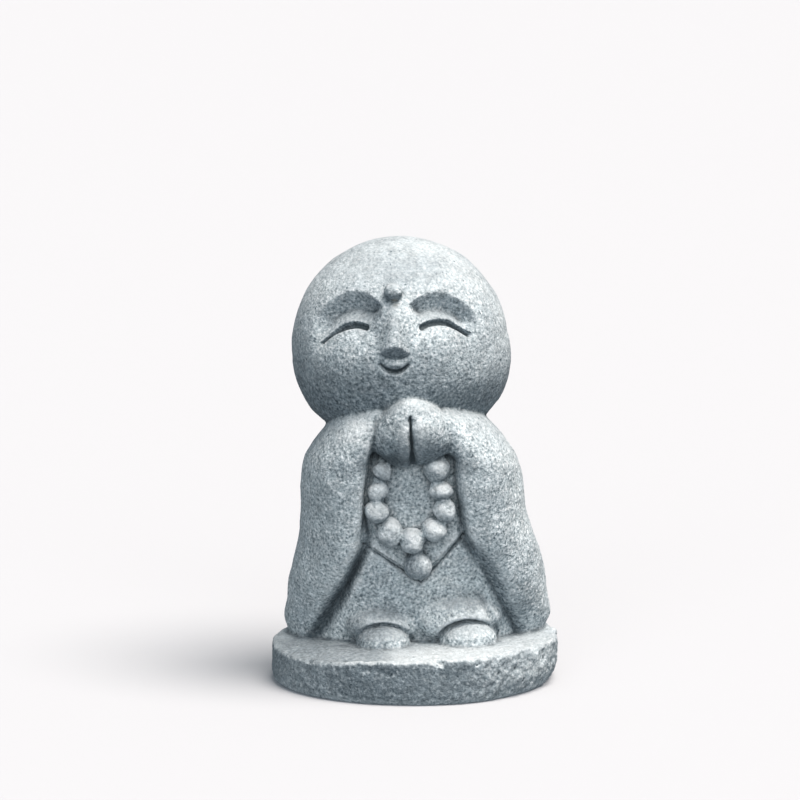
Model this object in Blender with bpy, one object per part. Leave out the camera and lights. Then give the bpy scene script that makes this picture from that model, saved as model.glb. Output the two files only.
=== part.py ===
"""A small jizo statue: a round-headed figure with joined hands, a bead loop, long sleeves and bare
toes, cast in one piece with the low round base that it stands on.

Units are metres and +Z is up. The figure looks along -Y, and the origin is the middle of the
underside. The base and the figure's height are driving sizes. The carving is written in
millimetres of the figure at its real height, so it keeps its proportions when the height changes.
"""

import math

import bmesh
import bpy
import numpy as np
from mathutils import Matrix, Vector

# Driving sizes
FIGURE_HEIGHT = 0.0477
BASE_THICKNESS = 0.0053
BASE_LEDGE = 0.0007
BASE_SHALLOWER = 0.001
BASE_TOP_RADIUS = 0.0008
BASE_FOOT_RADIUS = 0.001
FIGURE_ROOT = 0.0008

# One millimetre of the figure, carved at its real height of 47.7 mm
MM = FIGURE_HEIGHT / 47.7

# Head
HEAD_RADIUS = 12.8 * MM
HEAD_OFFSET = -1.75 * MM
HEAD_SETBACK = 0.5 * MM
HEAD_DEPTH_SHARE = 0.98
JOWL_SHARES = (1.012, 0.96, 0.86)
JOWL_ASIDE = 0.25 * MM
JOWL_DROP = 1.4 * MM
URNA_RADIUS = 0.95 * MM
URNA_SUNK = 0.2 * MM

# Face; it is turned a little to the viewer's left
FACE_TURN = -2.6
NOSE_STAND = 1.3 * MM
BROW_HOLLOW = 1.05 * MM
LID_RISE = 0.25 * MM
CHEEK_RISE = 0.35 * MM
LIP_RISE = 0.35 * MM
EYE_GROOVE_WIDTH = 0.72 * MM
EYE_GROOVE_DEPTH = 0.65 * MM
MOUTH_GROOVE_WIDTH = 0.5 * MM
MOUTH_GROOVE_DEPTH = 0.55 * MM

# Robe and sleeves
HEM_HALF_WIDTH = 15.95 * MM
HEM_LEAN = 0.35 * MM
SLEEVE_CURL = 2.4 * MM
RIGHT_SLEEVE_FULLER = 0.45 * MM
FOREARM_RADIUS = 3.0 * MM
FOREARM_TAPER = 1.1
PANEL_STEP = 0.35 * MM
PANEL_GROOVE_WIDTH = 0.4 * MM
PANEL_GROOVE_DEPTH = 0.4 * MM

# Joined hands
HAND_HALF_WIDTH = 4.3 * MM
HAND_HEEL_RISE = 0.8 * MM
HAND_SLIT_WIDTH = 0.45 * MM
HAND_SLIT_DEPTH = 1.3 * MM

# Beads, in millimetres of the figure, from the upper left round to the upper right
BEAD_DIAMETERS = (2.2, 2.45, 2.8, 2.75, 2.9, 2.75, 2.6, 2.5, 2.8)
BEAD_LOOP_HALF_WIDTH = 4.1 * MM
BEAD_LOOP_HALF_HEIGHT = 4.9 * MM
BEAD_LOOP_MIDDLE = (-0.4, 17.7)
BEAD_LOOP_START = -38.3
BEAD_STAND = 0.3
STRAND_RADIUS = 0.85 * MM
PENDANT_DIAMETER = 3.1 * MM
PENDANT_PLACE = (0.5, 9.65)

# Feet: sideways and forward place, half width and rise of each, in millimetres of the figure
FEET = ((-3.75, -5.8, 3.2, 2.3), (6.35, -5.3, 3.4, 2.8))
FOOT_LENGTH = 6.8 * MM
ARCH_GAP = 0.4 * MM
ARCH_FORWARD = 1.6

# Grain of the modelling: the size of the smallest form each pass keeps
BODY_GRAIN = 0.35 * MM
FIGURE_GRAIN = 0.22 * MM
FIGURE_TRIANGLES = 8900

BASE_WIDTH = 2 * (HEM_HALF_WIDTH + BASE_LEDGE + HEM_LEAN)
BASE_DEPTH = BASE_WIDTH - BASE_SHALLOWER
HEAD_CENTRE = Vector((HEAD_OFFSET, HEAD_SETBACK, BASE_THICKNESS + FIGURE_HEIGHT - HEAD_RADIUS))

# Height, half width, front and back of the robe's trunk, in millimetres above the base
TRUNK_ROWS = (
    (0.0, 12.5, -4.5, 11.0),
    (3.3, 12.0, -5.4, 11.4),
    (8.3, 11.2, -6.6, 11.2),
    (13.3, 10.6, -7.5, 10.8),
    (18.3, 10.4, -8.0, 10.2),
    (22.3, 9.8, -8.2, 9.2),
    (25.3, 8.6, -7.8, 7.6),
    (29.7, 6.5, -5.0, 4.5),
)

# Height, outer edge, inner edge, front and back of a sleeve
SLEEVE_ROWS = (
    (0.0, 15.3, 12.9, -1.8, 8.6),
    (1.7, 15.95, 12.2, -2.4, 9.6),
    (4.3, 15.65, 10.9, -4.4, 10.2),
    (8.3, 15.0, 8.7, -7.0, 10.2),
    (11.8, 14.1, 7.3, -8.8, 9.8),
    (15.3, 13.4, 6.8, -9.9, 9.0),
    (18.8, 13.2, 6.3, -10.8, 8.0),
    (21.9, 12.5, 5.7, -11.3, 6.6),
    (24.1, 11.0, 5.1, -11.2, 5.2),
    (25.9, 9.1, 4.8, -10.4, 3.4),
    (27.4, 7.2, 4.4, -9.6, 0.5),
)

# Sideways, forward and upward place of each elbow and wrist, and how far both pairs stand to the left
ELBOW = (9.2, -3.5, 21.1)
WRIST = (5.6, -8.2, 23.5)
ARMS_LEFT = 0.45

# Sideways place and height of the ends of the corner between the chest and a sleeve
TUCK_ENDS = ((7.4, 11.5), (6.0, 22.5))
TUCK_RADIUS = 1.1 * MM

# Place and half sizes of the robe's swellings over the insteps
FOLDS = ((-3.8, -3.0, 2.3, 4.7, 4.5, 3.1), (4.7, -2.7, 3.3, 5.6, 4.6, 3.7))

# Heights and sideways places of the hands' middle and of the slit between them
HANDS_LEAN = ((22.7, 30.7), (-0.45, 0.15))
SLIT_LINE = ((22.5, 28.3), (-0.2, -0.57))

# The robe's share of the width that its rows give
ROBE_SHARE = HEM_HALF_WIDTH / (max(row[1] for row in SLEEVE_ROWS) * MM)

# Height, half width and front of the joined hands
HAND_ROWS = (
    (22.6, 4.15, -12.5),
    (23.7, 4.3, -13.0),
    (25.8, 4.2, -13.3),
    (27.3, 3.8, -13.2),
    (28.1, 3.3, -13.0),
    (28.8, 2.6, -12.7),
    (29.4, 1.7, -12.4),
    (29.8, 0.6, -12.0),
)

# Height and sideways place of the figure's middle line, which leans a little as it rises
LEAN_ROWS = ((0, 0.25), (4, 0.4), (11, 0.25), (16, -0.15), (20, -0.38), (25, -0.5), (31, -0.9))

# The V that the upper garment's front ends in, in millimetres across and above the base
PANEL_EDGE = ((-6.9, 13.0), (0.75, 7.7), (6.9, 14.9))
PANEL_TOP = 23.7

# Degrees round the head, away from the face's middle and up: each brow's edge, the crease under
# it, the floors of the eyes' grooves from their outer ends, and the floor of the mouth's groove
BROW_EDGE = ((9, 29.3), (14, 33.2), (20, 35.8), (28, 36.6), (35, 35.3), (41, 31.8), (46, 27), (51, 18))
BROW_CREASE = ((9, 20.5), (14, 24.2), (20, 26.2), (28, 26.8), (34, 25.5), (41, 21.5), (46, 18), (51, 16))
LEFT_EYE = ((-42.6, 6.0), (-35.8, 12.0), (-28.9, 16.1), (-23.2, 17.4), (-17.3, 16.8), (-15.6, 16.3))
RIGHT_EYE = ((43.4, 11.9), (37.2, 15.8), (32.5, 18.3), (25.3, 19.3), (18.2, 18.2), (15.0, 16.6))
URNA_PLACE = (-1.5, 35.6)
MOUTH = ((-8, -3), (-6.2, -5), (-3.6, -6.8), (-0.7, -7.5), (2.7, -6.8), (5.3, -4.9), (7.2, -3))

# Middle, reach and rise of the eyelids, the cheeks and the upper lip
SWELLINGS = (
    ((-27, 21.5), (19, 6), LID_RISE),
    ((27, 21.5), (19, 6), LID_RISE),
    ((-27, 4), (20, 18), CHEEK_RISE),
    ((27, 4), (20, 18), CHEEK_RISE),
    ((0, -3), (7, 4.5), LIP_RISE),
)


def lean(height):
    """How far the figure's middle line stands to the side at a height, both in millimetres."""
    return float(np.interp(height, *zip(*LEAN_ROWS)))


def at(x, y, z):
    """A point of the figure, in its own millimetres above the base's top."""
    return Vector((x * MM, y * MM, BASE_THICKNESS + z * MM))


def smooth_rows(rows, steps=5):
    """The rows with more rows between them, on a smooth curve through each column."""
    table = np.array(rows, float)
    heights = table[:, 0]
    slopes = np.gradient(table, heights, axis=0)
    out = []
    for i in range(len(table) - 1):
        gap = heights[i + 1] - heights[i]
        for t in np.linspace(0, 1, steps, endpoint=i == len(table) - 2):
            out.append(
                (2 * t**3 - 3 * t**2 + 1) * table[i]
                + (t**3 - 2 * t**2 + t) * gap * slopes[i]
                + (3 * t**2 - 2 * t**3) * table[i + 1]
                + (t**3 - t**2) * gap * slopes[i + 1]
            )
    return out


def chest_front(height):
    """The trunk's front at a height."""
    return float(np.interp(height, [r[0] for r in TRUNK_ROWS], [r[2] for r in TRUNK_ROWS]))


def new_object(name, bm):
    bmesh.ops.recalc_face_normals(bm, faces=bm.faces)
    mesh = bpy.data.meshes.new(name)
    bm.to_mesh(mesh)
    bm.free()
    obj = bpy.data.objects.new(name, mesh)
    bpy.context.scene.collection.objects.link(obj)
    return obj


def ellipsoid(name, centre, radii, turn=(0, 0, 0)):
    bm = bmesh.new()
    place = Matrix.LocRotScale(centre, None, None)
    for angle, axis in zip(turn, "XYZ"):
        place = place @ Matrix.Rotation(math.radians(angle), 4, axis)
    place = place @ Matrix.Diagonal((*radii, 1))
    bmesh.ops.create_uvsphere(bm, u_segments=48, v_segments=24, radius=1, matrix=place)
    return new_object(name, bm)


def limb(name, start, end, start_radius, end_radius):
    """A round limb with round ends."""
    bm = bmesh.new()
    along = end - start
    turn = along.to_track_quat("Z", "Y").to_matrix().to_4x4()
    bmesh.ops.create_cone(
        bm,
        cap_ends=True,
        segments=40,
        radius1=start_radius,
        radius2=end_radius,
        depth=along.length,
        matrix=Matrix.Translation((start + end) / 2) @ turn,
    )
    for point, radius in ((start, start_radius), (end, end_radius)):
        bmesh.ops.create_uvsphere(
            bm, u_segments=40, v_segments=20, radius=radius, matrix=Matrix.Translation(point)
        )
    return new_object(name, bm)


def loft(name, rings):
    """A closed skin through rings of points, each ring a list of as many points."""
    bm = bmesh.new()
    loops = []
    for ring in rings:
        verts = bmesh.ops.create_circle(bm, segments=len(ring), radius=1)["verts"]
        for vert, point in zip(verts, ring):
            vert.co = point
        loops.append(list({edge for vert in verts for edge in vert.link_edges}))
    for low, high in zip(loops, loops[1:]):
        bmesh.ops.bridge_loops(bm, edges=low + high)
    bmesh.ops.holes_fill(bm, edges=loops[0] + loops[-1], sides=0)
    return new_object(name, bm)


def oval(x, y, z, half_width, half_depth, squareness=2.3, curl=0.0, count=64):
    """A ring of points round a flattened oval; curl draws its front and back ends towards -X."""
    ring = []
    for angle in np.linspace(0, 2 * math.pi, count, endpoint=False):
        c, s = math.cos(angle), math.sin(angle)
        across = math.copysign(abs(c) ** (2 / squareness), c)
        along = math.copysign(abs(s) ** (2 / squareness), s)
        ring.append(at(x + across * half_width - curl * along**2, y + along * half_depth, z))
    return ring


def trunk():
    rings = [
        oval(lean(z), (front + back) / 2, z, half * ROBE_SHARE, (back - front) / 2, squareness=2.9)
        for z, half, front, back in smooth_rows(TRUNK_ROWS)
    ]
    root = [point - Vector((0, 0, FIGURE_ROOT)) for point in rings[0]]
    return loft("trunk", [root, *rings])


def sleeve(side):
    """The hanging sleeve on one side; side is 1 to the viewer's right and -1 to the left."""
    rings = []
    fuller = RIGHT_SLEEVE_FULLER / MM if side > 0 else 0
    for z, outer, inner, front, back in smooth_rows(SLEEVE_ROWS):
        inner -= fuller
        ring = oval(
            (outer + inner) / 2 * ROBE_SHARE,
            (front + back) / 2,
            z,
            (outer - inner) / 2 * ROBE_SHARE,
            (back - front) / 2,
            squareness=2.8,
            curl=SLEEVE_CURL / MM,
        )
        rings.append([Vector((side * p.x + lean(z) * MM, p.y, p.z)) for p in ring])
    root = [point - Vector((0, 0, FIGURE_ROOT)) for point in rings[0]]
    return loft(f"sleeve_{side}", [root, *rings])


def forearm(side):
    """It runs inside the sleeve's top, from the elbow to the heel of the hands."""
    ends = [at(side * x - ARMS_LEFT, y, z) for x, y, z in (ELBOW, WRIST)]
    return limb(f"forearm_{side}", *ends, FOREARM_RADIUS * FOREARM_TAPER, FOREARM_RADIUS)


def hands():
    share = HAND_HALF_WIDTH / (max(row[1] for row in HAND_ROWS) * MM)
    rings = []
    for z, half, front in smooth_rows(HAND_ROWS):
        middle = float(np.interp(z, HANDS_LEAN[0], HANDS_LEAN[1]))
        ring = oval(middle, (front - 6) / 2, z, half * share, (-6 - front) / 2, 2.2)
        heel = max(0.0, 1 - (z - HAND_ROWS[0][0]) / 2)
        for point in ring:
            point.z += heel * HAND_HEEL_RISE * ((point.x / MM - middle) / half) ** 2
        rings.append(ring)
    return loft("hands", rings)


def panel():
    """The flat front of the upper garment, which ends in a V below the beads."""
    left, tip, right = PANEL_EDGE
    outline = (left, tip, right, (right[0] - 0.7, PANEL_TOP), (left[0] + 0.7, PANEL_TOP))
    bm = bmesh.new()
    step = PANEL_STEP / MM
    front = [bm.verts.new(at(x, chest_front(z) - step, z)) for x, z in outline]
    face = bm.faces.new(front)
    back = bmesh.ops.extrude_face_region(bm, geom=[face])["geom"]
    moved = [item for item in back if isinstance(item, bmesh.types.BMVert)]
    bmesh.ops.translate(bm, verts=moved, vec=Vector((0, 4 * MM, 0)))
    return new_object("panel", bm)


def bead_places():
    """The middle and diameter of each bead, walking round the loop so that each touches the next."""
    angles = np.radians(np.linspace(BEAD_LOOP_START, 260, 1200))
    x = BEAD_LOOP_MIDDLE[0] - BEAD_LOOP_HALF_WIDTH / MM * np.cos(angles)
    z = BEAD_LOOP_MIDDLE[1] - BEAD_LOOP_HALF_HEIGHT / MM * np.sin(angles)
    here = 0
    places = [(x[0], z[0], BEAD_DIAMETERS[0])]
    for before, diameter in zip(BEAD_DIAMETERS, BEAD_DIAMETERS[1:]):
        away = np.hypot(x - x[here], z - z[here])
        away[:here] = 0
        here = int(np.argmax(away >= (before + diameter) / 2))
        places.append((x[here], z[here], diameter))
    return places


def bead(name, x, z, diameter):
    y = chest_front(z) - PANEL_STEP / MM - BEAD_STAND * diameter
    size = diameter / 2 * MM
    return ellipsoid(name, at(x, y, z), (size * 1.04, size, size))


def beads():
    made = [bead(f"bead_{i}", *place) for i, place in enumerate(bead_places())]
    made.append(bead("pendant", *PENDANT_PLACE, PENDANT_DIAMETER / MM))
    return made


def strand():
    """The cord that the beads hang on, half sunk in the robe; it closes the gaps behind them."""
    places = bead_places()
    lowest = min(places, key=lambda place: place[1])
    pairs = [*zip(places, places[1:]), (lowest, PENDANT_PLACE)]
    runs = []
    for i, pair in enumerate(pairs):
        ends = [at(x, chest_front(z) - PANEL_STEP / MM, z) for x, z, *_ in pair]
        runs.append(limb(f"strand_{i}", *ends, STRAND_RADIUS, STRAND_RADIUS))
    return runs


def tucks():
    """The robe where it fills the corner between the chest and each sleeve."""
    made = []
    for side in (-1, 1):
        fuller = RIGHT_SLEEVE_FULLER / MM if side > 0 else 0
        ends = []
        for x, z in TUCK_ENDS:
            ends.append(at(side * (x - fuller) * ROBE_SHARE + lean(z), chest_front(z), z))
        made.append(limb(f"tuck_{side}", *ends, TUCK_RADIUS, TUCK_RADIUS))
    return made


def feet():
    return [
        ellipsoid(
            f"foot_{i}",
            at(x, y, 0.3),
            (half * MM, FOOT_LENGTH / 2, (rise - 0.3) * MM),
            turn=(0, 0, math.copysign(5, x)),
        )
        for i, (x, y, half, rise) in enumerate(FEET)
    ]


def hem_folds():
    """The robe swells where it lies over each instep, more so on the right."""
    return [
        ellipsoid(f"fold_{i}", at(*fold[:3]), [half * MM for half in fold[3:]])
        for i, fold in enumerate(FOLDS)
    ]


def hem_arches():
    """Cutters for the arched openings of the hem over the feet."""
    depth = FOOT_LENGTH / 2
    return [
        ellipsoid(
            f"arch_{i}",
            at(x, y - ARCH_FORWARD, 0),
            (half * MM + ARCH_GAP, depth, rise * MM + ARCH_GAP),
        )
        for i, (x, y, half, rise) in enumerate(FEET)
    ]


def head():
    """A near perfect ball, a little fuller at the jowls."""
    width, depth, height = (HEAD_RADIUS * share for share in JOWL_SHARES)
    jowls = HEAD_CENTRE + Vector((JOWL_ASIDE, 0, -JOWL_DROP))
    return [
        ellipsoid("head", HEAD_CENTRE, (HEAD_RADIUS, HEAD_RADIUS * HEAD_DEPTH_SHARE, HEAD_RADIUS)),
        ellipsoid("jowls", jowls, (width, depth, height)),
    ]


def face_point(longitude, latitude, out=0.0):
    """A point over the head's surface; longitude is from the face's own middle."""
    turn, rise = math.radians(longitude + FACE_TURN), math.radians(latitude)
    way = Vector((math.sin(turn) * math.cos(rise), -math.cos(turn) * math.cos(rise), math.sin(rise)))
    return HEAD_CENTRE + way * (HEAD_RADIUS + out)


def urna():
    """The small round mark between the brows."""
    return ellipsoid("urna", face_point(*URNA_PLACE, -URNA_SUNK), (URNA_RADIUS,) * 3)


def baked(obj, name):
    """The object's mesh as its modifiers leave it, in a plain new object; the old one goes."""
    graph = bpy.context.evaluated_depsgraph_get()
    mesh = bpy.data.meshes.new_from_object(obj.evaluated_get(graph))
    mesh.name = name
    bpy.data.objects.remove(obj)
    made = bpy.data.objects.new(name, mesh)
    bpy.context.scene.collection.objects.link(made)
    return made


def fused(name, masses, grain, smoothing):
    """One skin round all the masses, with its inner corners softened as in a cast."""
    bm = bmesh.new()
    for mass in masses:
        bm.from_mesh(mass.data)
        bpy.data.objects.remove(mass)
    clay = new_object(name, bm)
    remesh = clay.modifiers.new("one skin", "REMESH")
    remesh.mode = "VOXEL"
    remesh.voxel_size = grain
    soften = clay.modifiers.new("soften", "SMOOTH")
    soften.factor = 0.5
    soften.iterations = smoothing
    return baked(clay, name)


def cut(obj, cutters):
    for cutter in cutters:
        boolean = obj.modifiers.new(cutter.name, "BOOLEAN")
        boolean.operation = "DIFFERENCE"
        boolean.object = cutter
    made = baked(obj, obj.name)
    for cutter in cutters:
        bpy.data.objects.remove(cutter)
    return made


def stroke(points, path):
    """For each point: how far it is from a drawn path, and how far along the path it lies, 0 to 1."""
    path = np.array([tuple(p) for p in path])
    gaps = np.linalg.norm(points[:, None] - path[None], axis=2)
    return gaps.min(axis=1), gaps.argmin(axis=1) / (len(path) - 1)


def face_line(degrees):
    """Points on the head's ball along a smooth line."""
    return [face_point(lon, lat) for lon, lat in smooth_rows(degrees, 12)]


def fade(value, start, end):
    """1 before start, 0 after end, and a smooth change between."""
    t = np.clip((value - start) / (end - start), 0, 1)
    return 1 - t * t * (3 - 2 * t)


def brow_hollow(lon, lat):
    """The hollow under each brow: it slants in from the brow's edge to a crease and out over the lid."""
    away = abs(lon)
    edge = np.interp(away, *zip(*BROW_EDGE))
    crease = np.interp(away, *zip(*BROW_CREASE))
    share = (edge - lat) / np.maximum(edge - crease, 1.0)
    slant = np.interp(share, (0, 0.1, 1, 1.8), (0, 0.28, 1, 0))
    return BROW_HOLLOW * slant * fade(away, 43, 52) * fade(-away, -12, -7)


def nose_rise(lon, lat):
    """A wedge that widens and stands out more towards its tip, with a slanting underside."""
    away = abs(lon)
    half = np.interp(lat, (2, 6.5, 15.5, 30), (8.5, 7.5, 4.8, 3.4))
    down = np.clip((30 - lat) / 23.5, 0, 1)
    tip = 6.5 - 0.45 * away
    foot = 0.4 * away - 0.7
    underside = np.clip((lat - foot) / np.maximum(tip - foot, 0.8), 0, 1)
    return NOSE_STAND * down**0.8 * fade(away / half, 0.1, 1.2) * underside


def swell(lon, lat, middle, reach):
    """A soft round swelling, 1 at its middle."""
    far = np.hypot((lon - middle[0]) / reach[0], (lat - middle[1]) / reach[1])
    return fade(far, 0, 1)


def carve_face(ways):
    """How far the head's skin moves out along each way from the head's middle, in metres."""
    flat = ways / np.linalg.norm(ways, axis=1)[:, None]
    lon = np.degrees(np.arctan2(flat[:, 0], -flat[:, 1])) - FACE_TURN
    lat = np.degrees(np.arcsin(np.clip(flat[:, 2], -1, 1)))
    points = flat * HEAD_RADIUS + np.array(HEAD_CENTRE)
    out = nose_rise(lon, lat) - brow_hollow(lon, lat)
    for middle, reach, rise in SWELLINGS:
        out += rise * swell(lon, lat, middle, reach)
    for eye in (LEFT_EYE, RIGHT_EYE):
        gap, along = stroke(points, face_line(eye))
        taper = 0.4 + 0.6 * np.clip(along / 0.35, 0, 1)
        half = EYE_GROOVE_WIDTH / 2 * taper
        out -= EYE_GROOVE_DEPTH * taper * fade(gap, half * 0.6, half * 1.35)
    gap, along = stroke(points, face_line(MOUTH))
    taper = 0.5 + 0.5 * np.sin(np.pi * along)
    half = MOUTH_GROOVE_WIDTH / 2 * taper
    out -= MOUTH_GROOVE_DEPTH * taper * fade(gap, half * 0.6, half * 1.5)
    return out


def carve(obj):
    """Fine carving: the face's lines, the slit between the hands and the groove under the panel."""
    mesh = obj.data
    count = len(mesh.vertices)
    points = np.empty(count * 3, np.float32)
    normals = np.empty(count * 3, np.float32)
    mesh.vertices.foreach_get("co", points)
    mesh.vertices.foreach_get("normal", normals)
    points = points.reshape(-1, 3).astype(float)
    normals = normals.reshape(-1, 3).astype(float)
    moved = points.copy()

    centre = np.array(HEAD_CENTRE)
    ways = points - centre
    reach = np.linalg.norm(ways, axis=1)
    on_face = (abs(reach - HEAD_RADIUS) < 1.2 * MM) & (ways[:, 1] < 0) & (normals[:, 1] < 0)
    chosen = np.flatnonzero(on_face & (ways[:, 2] > -0.5 * HEAD_RADIUS))
    moved[chosen] += ways[chosen] / reach[chosen, None] * carve_face(ways[chosen])[:, None]

    heights = (points[:, 2] - BASE_THICKNESS) / MM
    low, high = SLIT_LINE[0]
    across = points[:, 0] / MM - np.interp(heights, *SLIT_LINE)
    on_hands = (points[:, 1] < -9 * MM) & (heights > low - 1.3) & (heights < high + 0.7)
    half = HAND_SLIT_WIDTH / 2 / MM * np.interp(heights, (low, high), (1, 0.4))
    slit = fade(abs(across), half * 0.5, half * 1.7) * fade(heights, high - 1, high)
    moved[:, 1] += np.where(on_hands, HAND_SLIT_DEPTH * slit, 0)

    flat = np.stack([points[:, 0] / MM, np.zeros(count), heights], axis=1)
    left, tip, right = (np.array((x, 0, z - 0.15)) for x, z in PANEL_EDGE)
    edge = [*np.linspace(left, tip, 60), *np.linspace(tip, right, 60)]
    depth = points[:, 1] / MM - np.interp(heights, *zip(*[(r[0], r[2]) for r in TRUNK_ROWS]))
    near = np.flatnonzero((abs(depth) < 0.9) & (heights > tip[2] - 2) & (heights < right[2] + 2))
    gap, along = stroke(flat[near], edge)
    half = PANEL_GROOVE_WIDTH / 2 / MM
    moved[near, 1] += PANEL_GROOVE_DEPTH * fade(gap, half * 0.5, half * 1.6)

    mesh.vertices.foreach_set("co", moved.astype(np.float32).ravel())
    mesh.update()


def thinned(obj, triangles):
    count = sum(len(face.vertices) - 2 for face in obj.data.polygons)
    thin = obj.modifiers.new("thin", "DECIMATE")
    thin.ratio = min(1.0, triangles / count)
    return baked(obj, obj.name)


def base():
    """The round base, a little shallower than wide, with softly rounded edges."""
    bm = bmesh.new()
    place = Matrix.Translation((0, 0, BASE_THICKNESS / 2)) @ Matrix.Diagonal(
        (BASE_WIDTH / 2, BASE_DEPTH / 2, 1, 1)
    )
    bmesh.ops.create_cone(
        bm, cap_ends=True, segments=72, radius1=1, radius2=1, depth=BASE_THICKNESS, matrix=place
    )
    for height, radius in ((BASE_THICKNESS, BASE_TOP_RADIUS), (0, BASE_FOOT_RADIUS)):
        rim = [e for e in bm.edges if all(abs(v.co.z - height) < 1e-6 for v in e.verts)]
        bmesh.ops.bevel(bm, geom=rim, offset=radius, segments=2, profile=0.5, affect="EDGES")
    return new_object("jizo_statue", bm)


def cast_stone():
    material = bpy.data.materials.new("cast stone")
    material.use_nodes = True
    shader = material.node_tree.nodes["Principled BSDF"]
    shader.inputs["Base Color"].default_value = (0.352, 0.413, 0.445, 1)
    shader.inputs["Roughness"].default_value = 0.9
    shader.inputs["Metallic"].default_value = 0.0
    return material


def statue():
    body = fused(
        "body",
        [trunk(), sleeve(-1), sleeve(1), forearm(-1), forearm(1), *hem_folds()],
        BODY_GRAIN,
        5,
    )
    body = cut(body, hem_arches())
    figure = fused(
        "figure",
        [body, *head(), urna(), hands(), panel(), *tucks(), *strand(), *beads(), *feet()],
        FIGURE_GRAIN,
        2,
    )
    carve(figure)
    figure = thinned(figure, FIGURE_TRIANGLES)
    whole = base()
    union = whole.modifiers.new("figure", "BOOLEAN")
    union.operation = "UNION"
    union.object = figure
    whole = baked(whole, "jizo_statue")
    bpy.data.objects.remove(figure)
    whole.data.materials.clear()
    whole.data.materials.append(cast_stone())
    whole.data.shade_smooth()
    whole.data.set_sharp_from_angle(angle=math.radians(50))
    return whole


def main():
    for old in list(bpy.data.objects):
        bpy.data.objects.remove(old)
    statue()


main()
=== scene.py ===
# %% [markdown]
# # A small jizo statue in cast stone
#
# The statue is one casting: a round head with smiling closed eyes, joined hands, a loop of beads,
# long sleeves, bare toes, and the low round base under them. A carver makes the first one, and the
# rest are cast from its mould in a paste of stone powder. Here it is built as a sculptor works in
# clay: plain masses are set against each other, fused into one skin, carved with fine lines, and
# weathered last. Units are metres, +Z is up, and the figure looks along -Y.

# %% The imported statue, which gives the frame and the size
import math

import bmesh
import bpy
import numpy as np
from mathutils import Matrix, Vector, noise


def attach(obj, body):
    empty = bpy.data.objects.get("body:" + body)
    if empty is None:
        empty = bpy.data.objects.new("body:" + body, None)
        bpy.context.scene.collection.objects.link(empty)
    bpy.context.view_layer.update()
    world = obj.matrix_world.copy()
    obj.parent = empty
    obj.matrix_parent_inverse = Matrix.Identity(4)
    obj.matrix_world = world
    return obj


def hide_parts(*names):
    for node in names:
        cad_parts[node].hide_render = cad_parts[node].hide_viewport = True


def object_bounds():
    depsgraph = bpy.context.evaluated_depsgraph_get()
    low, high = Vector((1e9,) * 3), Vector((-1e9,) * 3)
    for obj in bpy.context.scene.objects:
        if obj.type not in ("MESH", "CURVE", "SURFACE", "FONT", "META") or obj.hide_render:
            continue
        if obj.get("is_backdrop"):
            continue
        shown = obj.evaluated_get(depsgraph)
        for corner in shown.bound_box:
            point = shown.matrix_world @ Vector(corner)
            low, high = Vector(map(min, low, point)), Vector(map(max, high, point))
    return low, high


MM = 0.001  # sizes in millimetres are multiplied by this

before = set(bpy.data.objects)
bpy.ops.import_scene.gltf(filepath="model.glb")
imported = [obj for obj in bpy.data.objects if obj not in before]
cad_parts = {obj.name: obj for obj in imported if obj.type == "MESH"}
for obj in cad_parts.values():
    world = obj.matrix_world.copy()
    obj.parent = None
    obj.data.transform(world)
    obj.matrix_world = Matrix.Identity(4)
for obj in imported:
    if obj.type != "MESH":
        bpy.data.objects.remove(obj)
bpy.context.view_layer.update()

# %% [markdown]
# ## One way to write a colour and a node
#
# A colour picker shows sRGB, but Blender's sockets take linear light, so one function turns a hex
# code into what a socket needs. Nodes could be added in the editor by hand. A script does it with
# one small function: the kind of node, what goes into its inputs, and its settings. An input takes
# a value, a socket of another node, or the node itself, which stands for its first socket.

# %% Colours and nodes
def linear(code):
    """An sRGB hex colour as linear red, green, blue and alpha."""
    parts = [int(code[i : i + 2], 16) / 255 for i in (1, 3, 5)]
    return (*[c / 12.92 if c <= 0.04045 else ((c + 0.055) / 1.055) ** 2.4 for c in parts], 1.0)


def add(tree, kind, inputs=(), **settings):
    """A new node with its settings, and its inputs by name or number, or else in their order."""
    node = tree.nodes.new(kind)
    for name, value in settings.items():
        setattr(node, name, value)
    named = inputs if isinstance(inputs, dict) else dict(enumerate(inputs))
    for key, value in named.items():
        if isinstance(value, bpy.types.Node):
            value = value.outputs[0]
        if isinstance(value, bpy.types.NodeSocket):
            tree.links.new(value, node.inputs[key])
        else:
            node.inputs[key].default_value = value
    return node


print("a middle grey in linear light:", round(linear("#808080")[0], 3))

# %% [markdown]
# ## Camera
#
# A small object is best photographed from well back with a long lens, so that its lines stay
# straight. The camera stands 60 cm away, looks down a little under nine degrees, and sees about
# nine centimetres across at the statue.

# %% Camera
scene = bpy.context.scene
CAMERA_PLACE = (-0.0017315, -0.600, 0.1275)
CAMERA_DOWN = 0.1553
CAMERA_LENS = 230.52

camera = bpy.data.objects.new("camera", bpy.data.cameras.new("camera"))
scene.collection.objects.link(camera)
camera.data.sensor_width = 36
camera.data.lens = CAMERA_LENS
camera.data.clip_start, camera.data.clip_end = 0.05, 50
camera.location = CAMERA_PLACE
camera.rotation_euler = (math.pi / 2 - CAMERA_DOWN, 0, 0)
scene.camera = camera
print("camera looks down", round(math.degrees(CAMERA_DOWN), 1), "degrees")

# %% [markdown]
# ## Floor and light
#
# The photograph's light is a broad softbox nearly overhead, a little to the right, a weak one in
# front, and a faint bluish fill from everywhere else. A softbox could be an area lamp, but a sun
# lamp with a wide angle acts as one that is very far away, so it lights the whole floor evenly. A
# pale floor would also throw light up under the chin and on the base's wall, which the photograph
# doesn't show, so the floor is left out of the diffuse bounces and the air's own light fills from
# below.

# %% Floor, lamps and background
FLOOR_HALF = 6.0
FLOOR_PAINT = "#AAAFB5"

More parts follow.
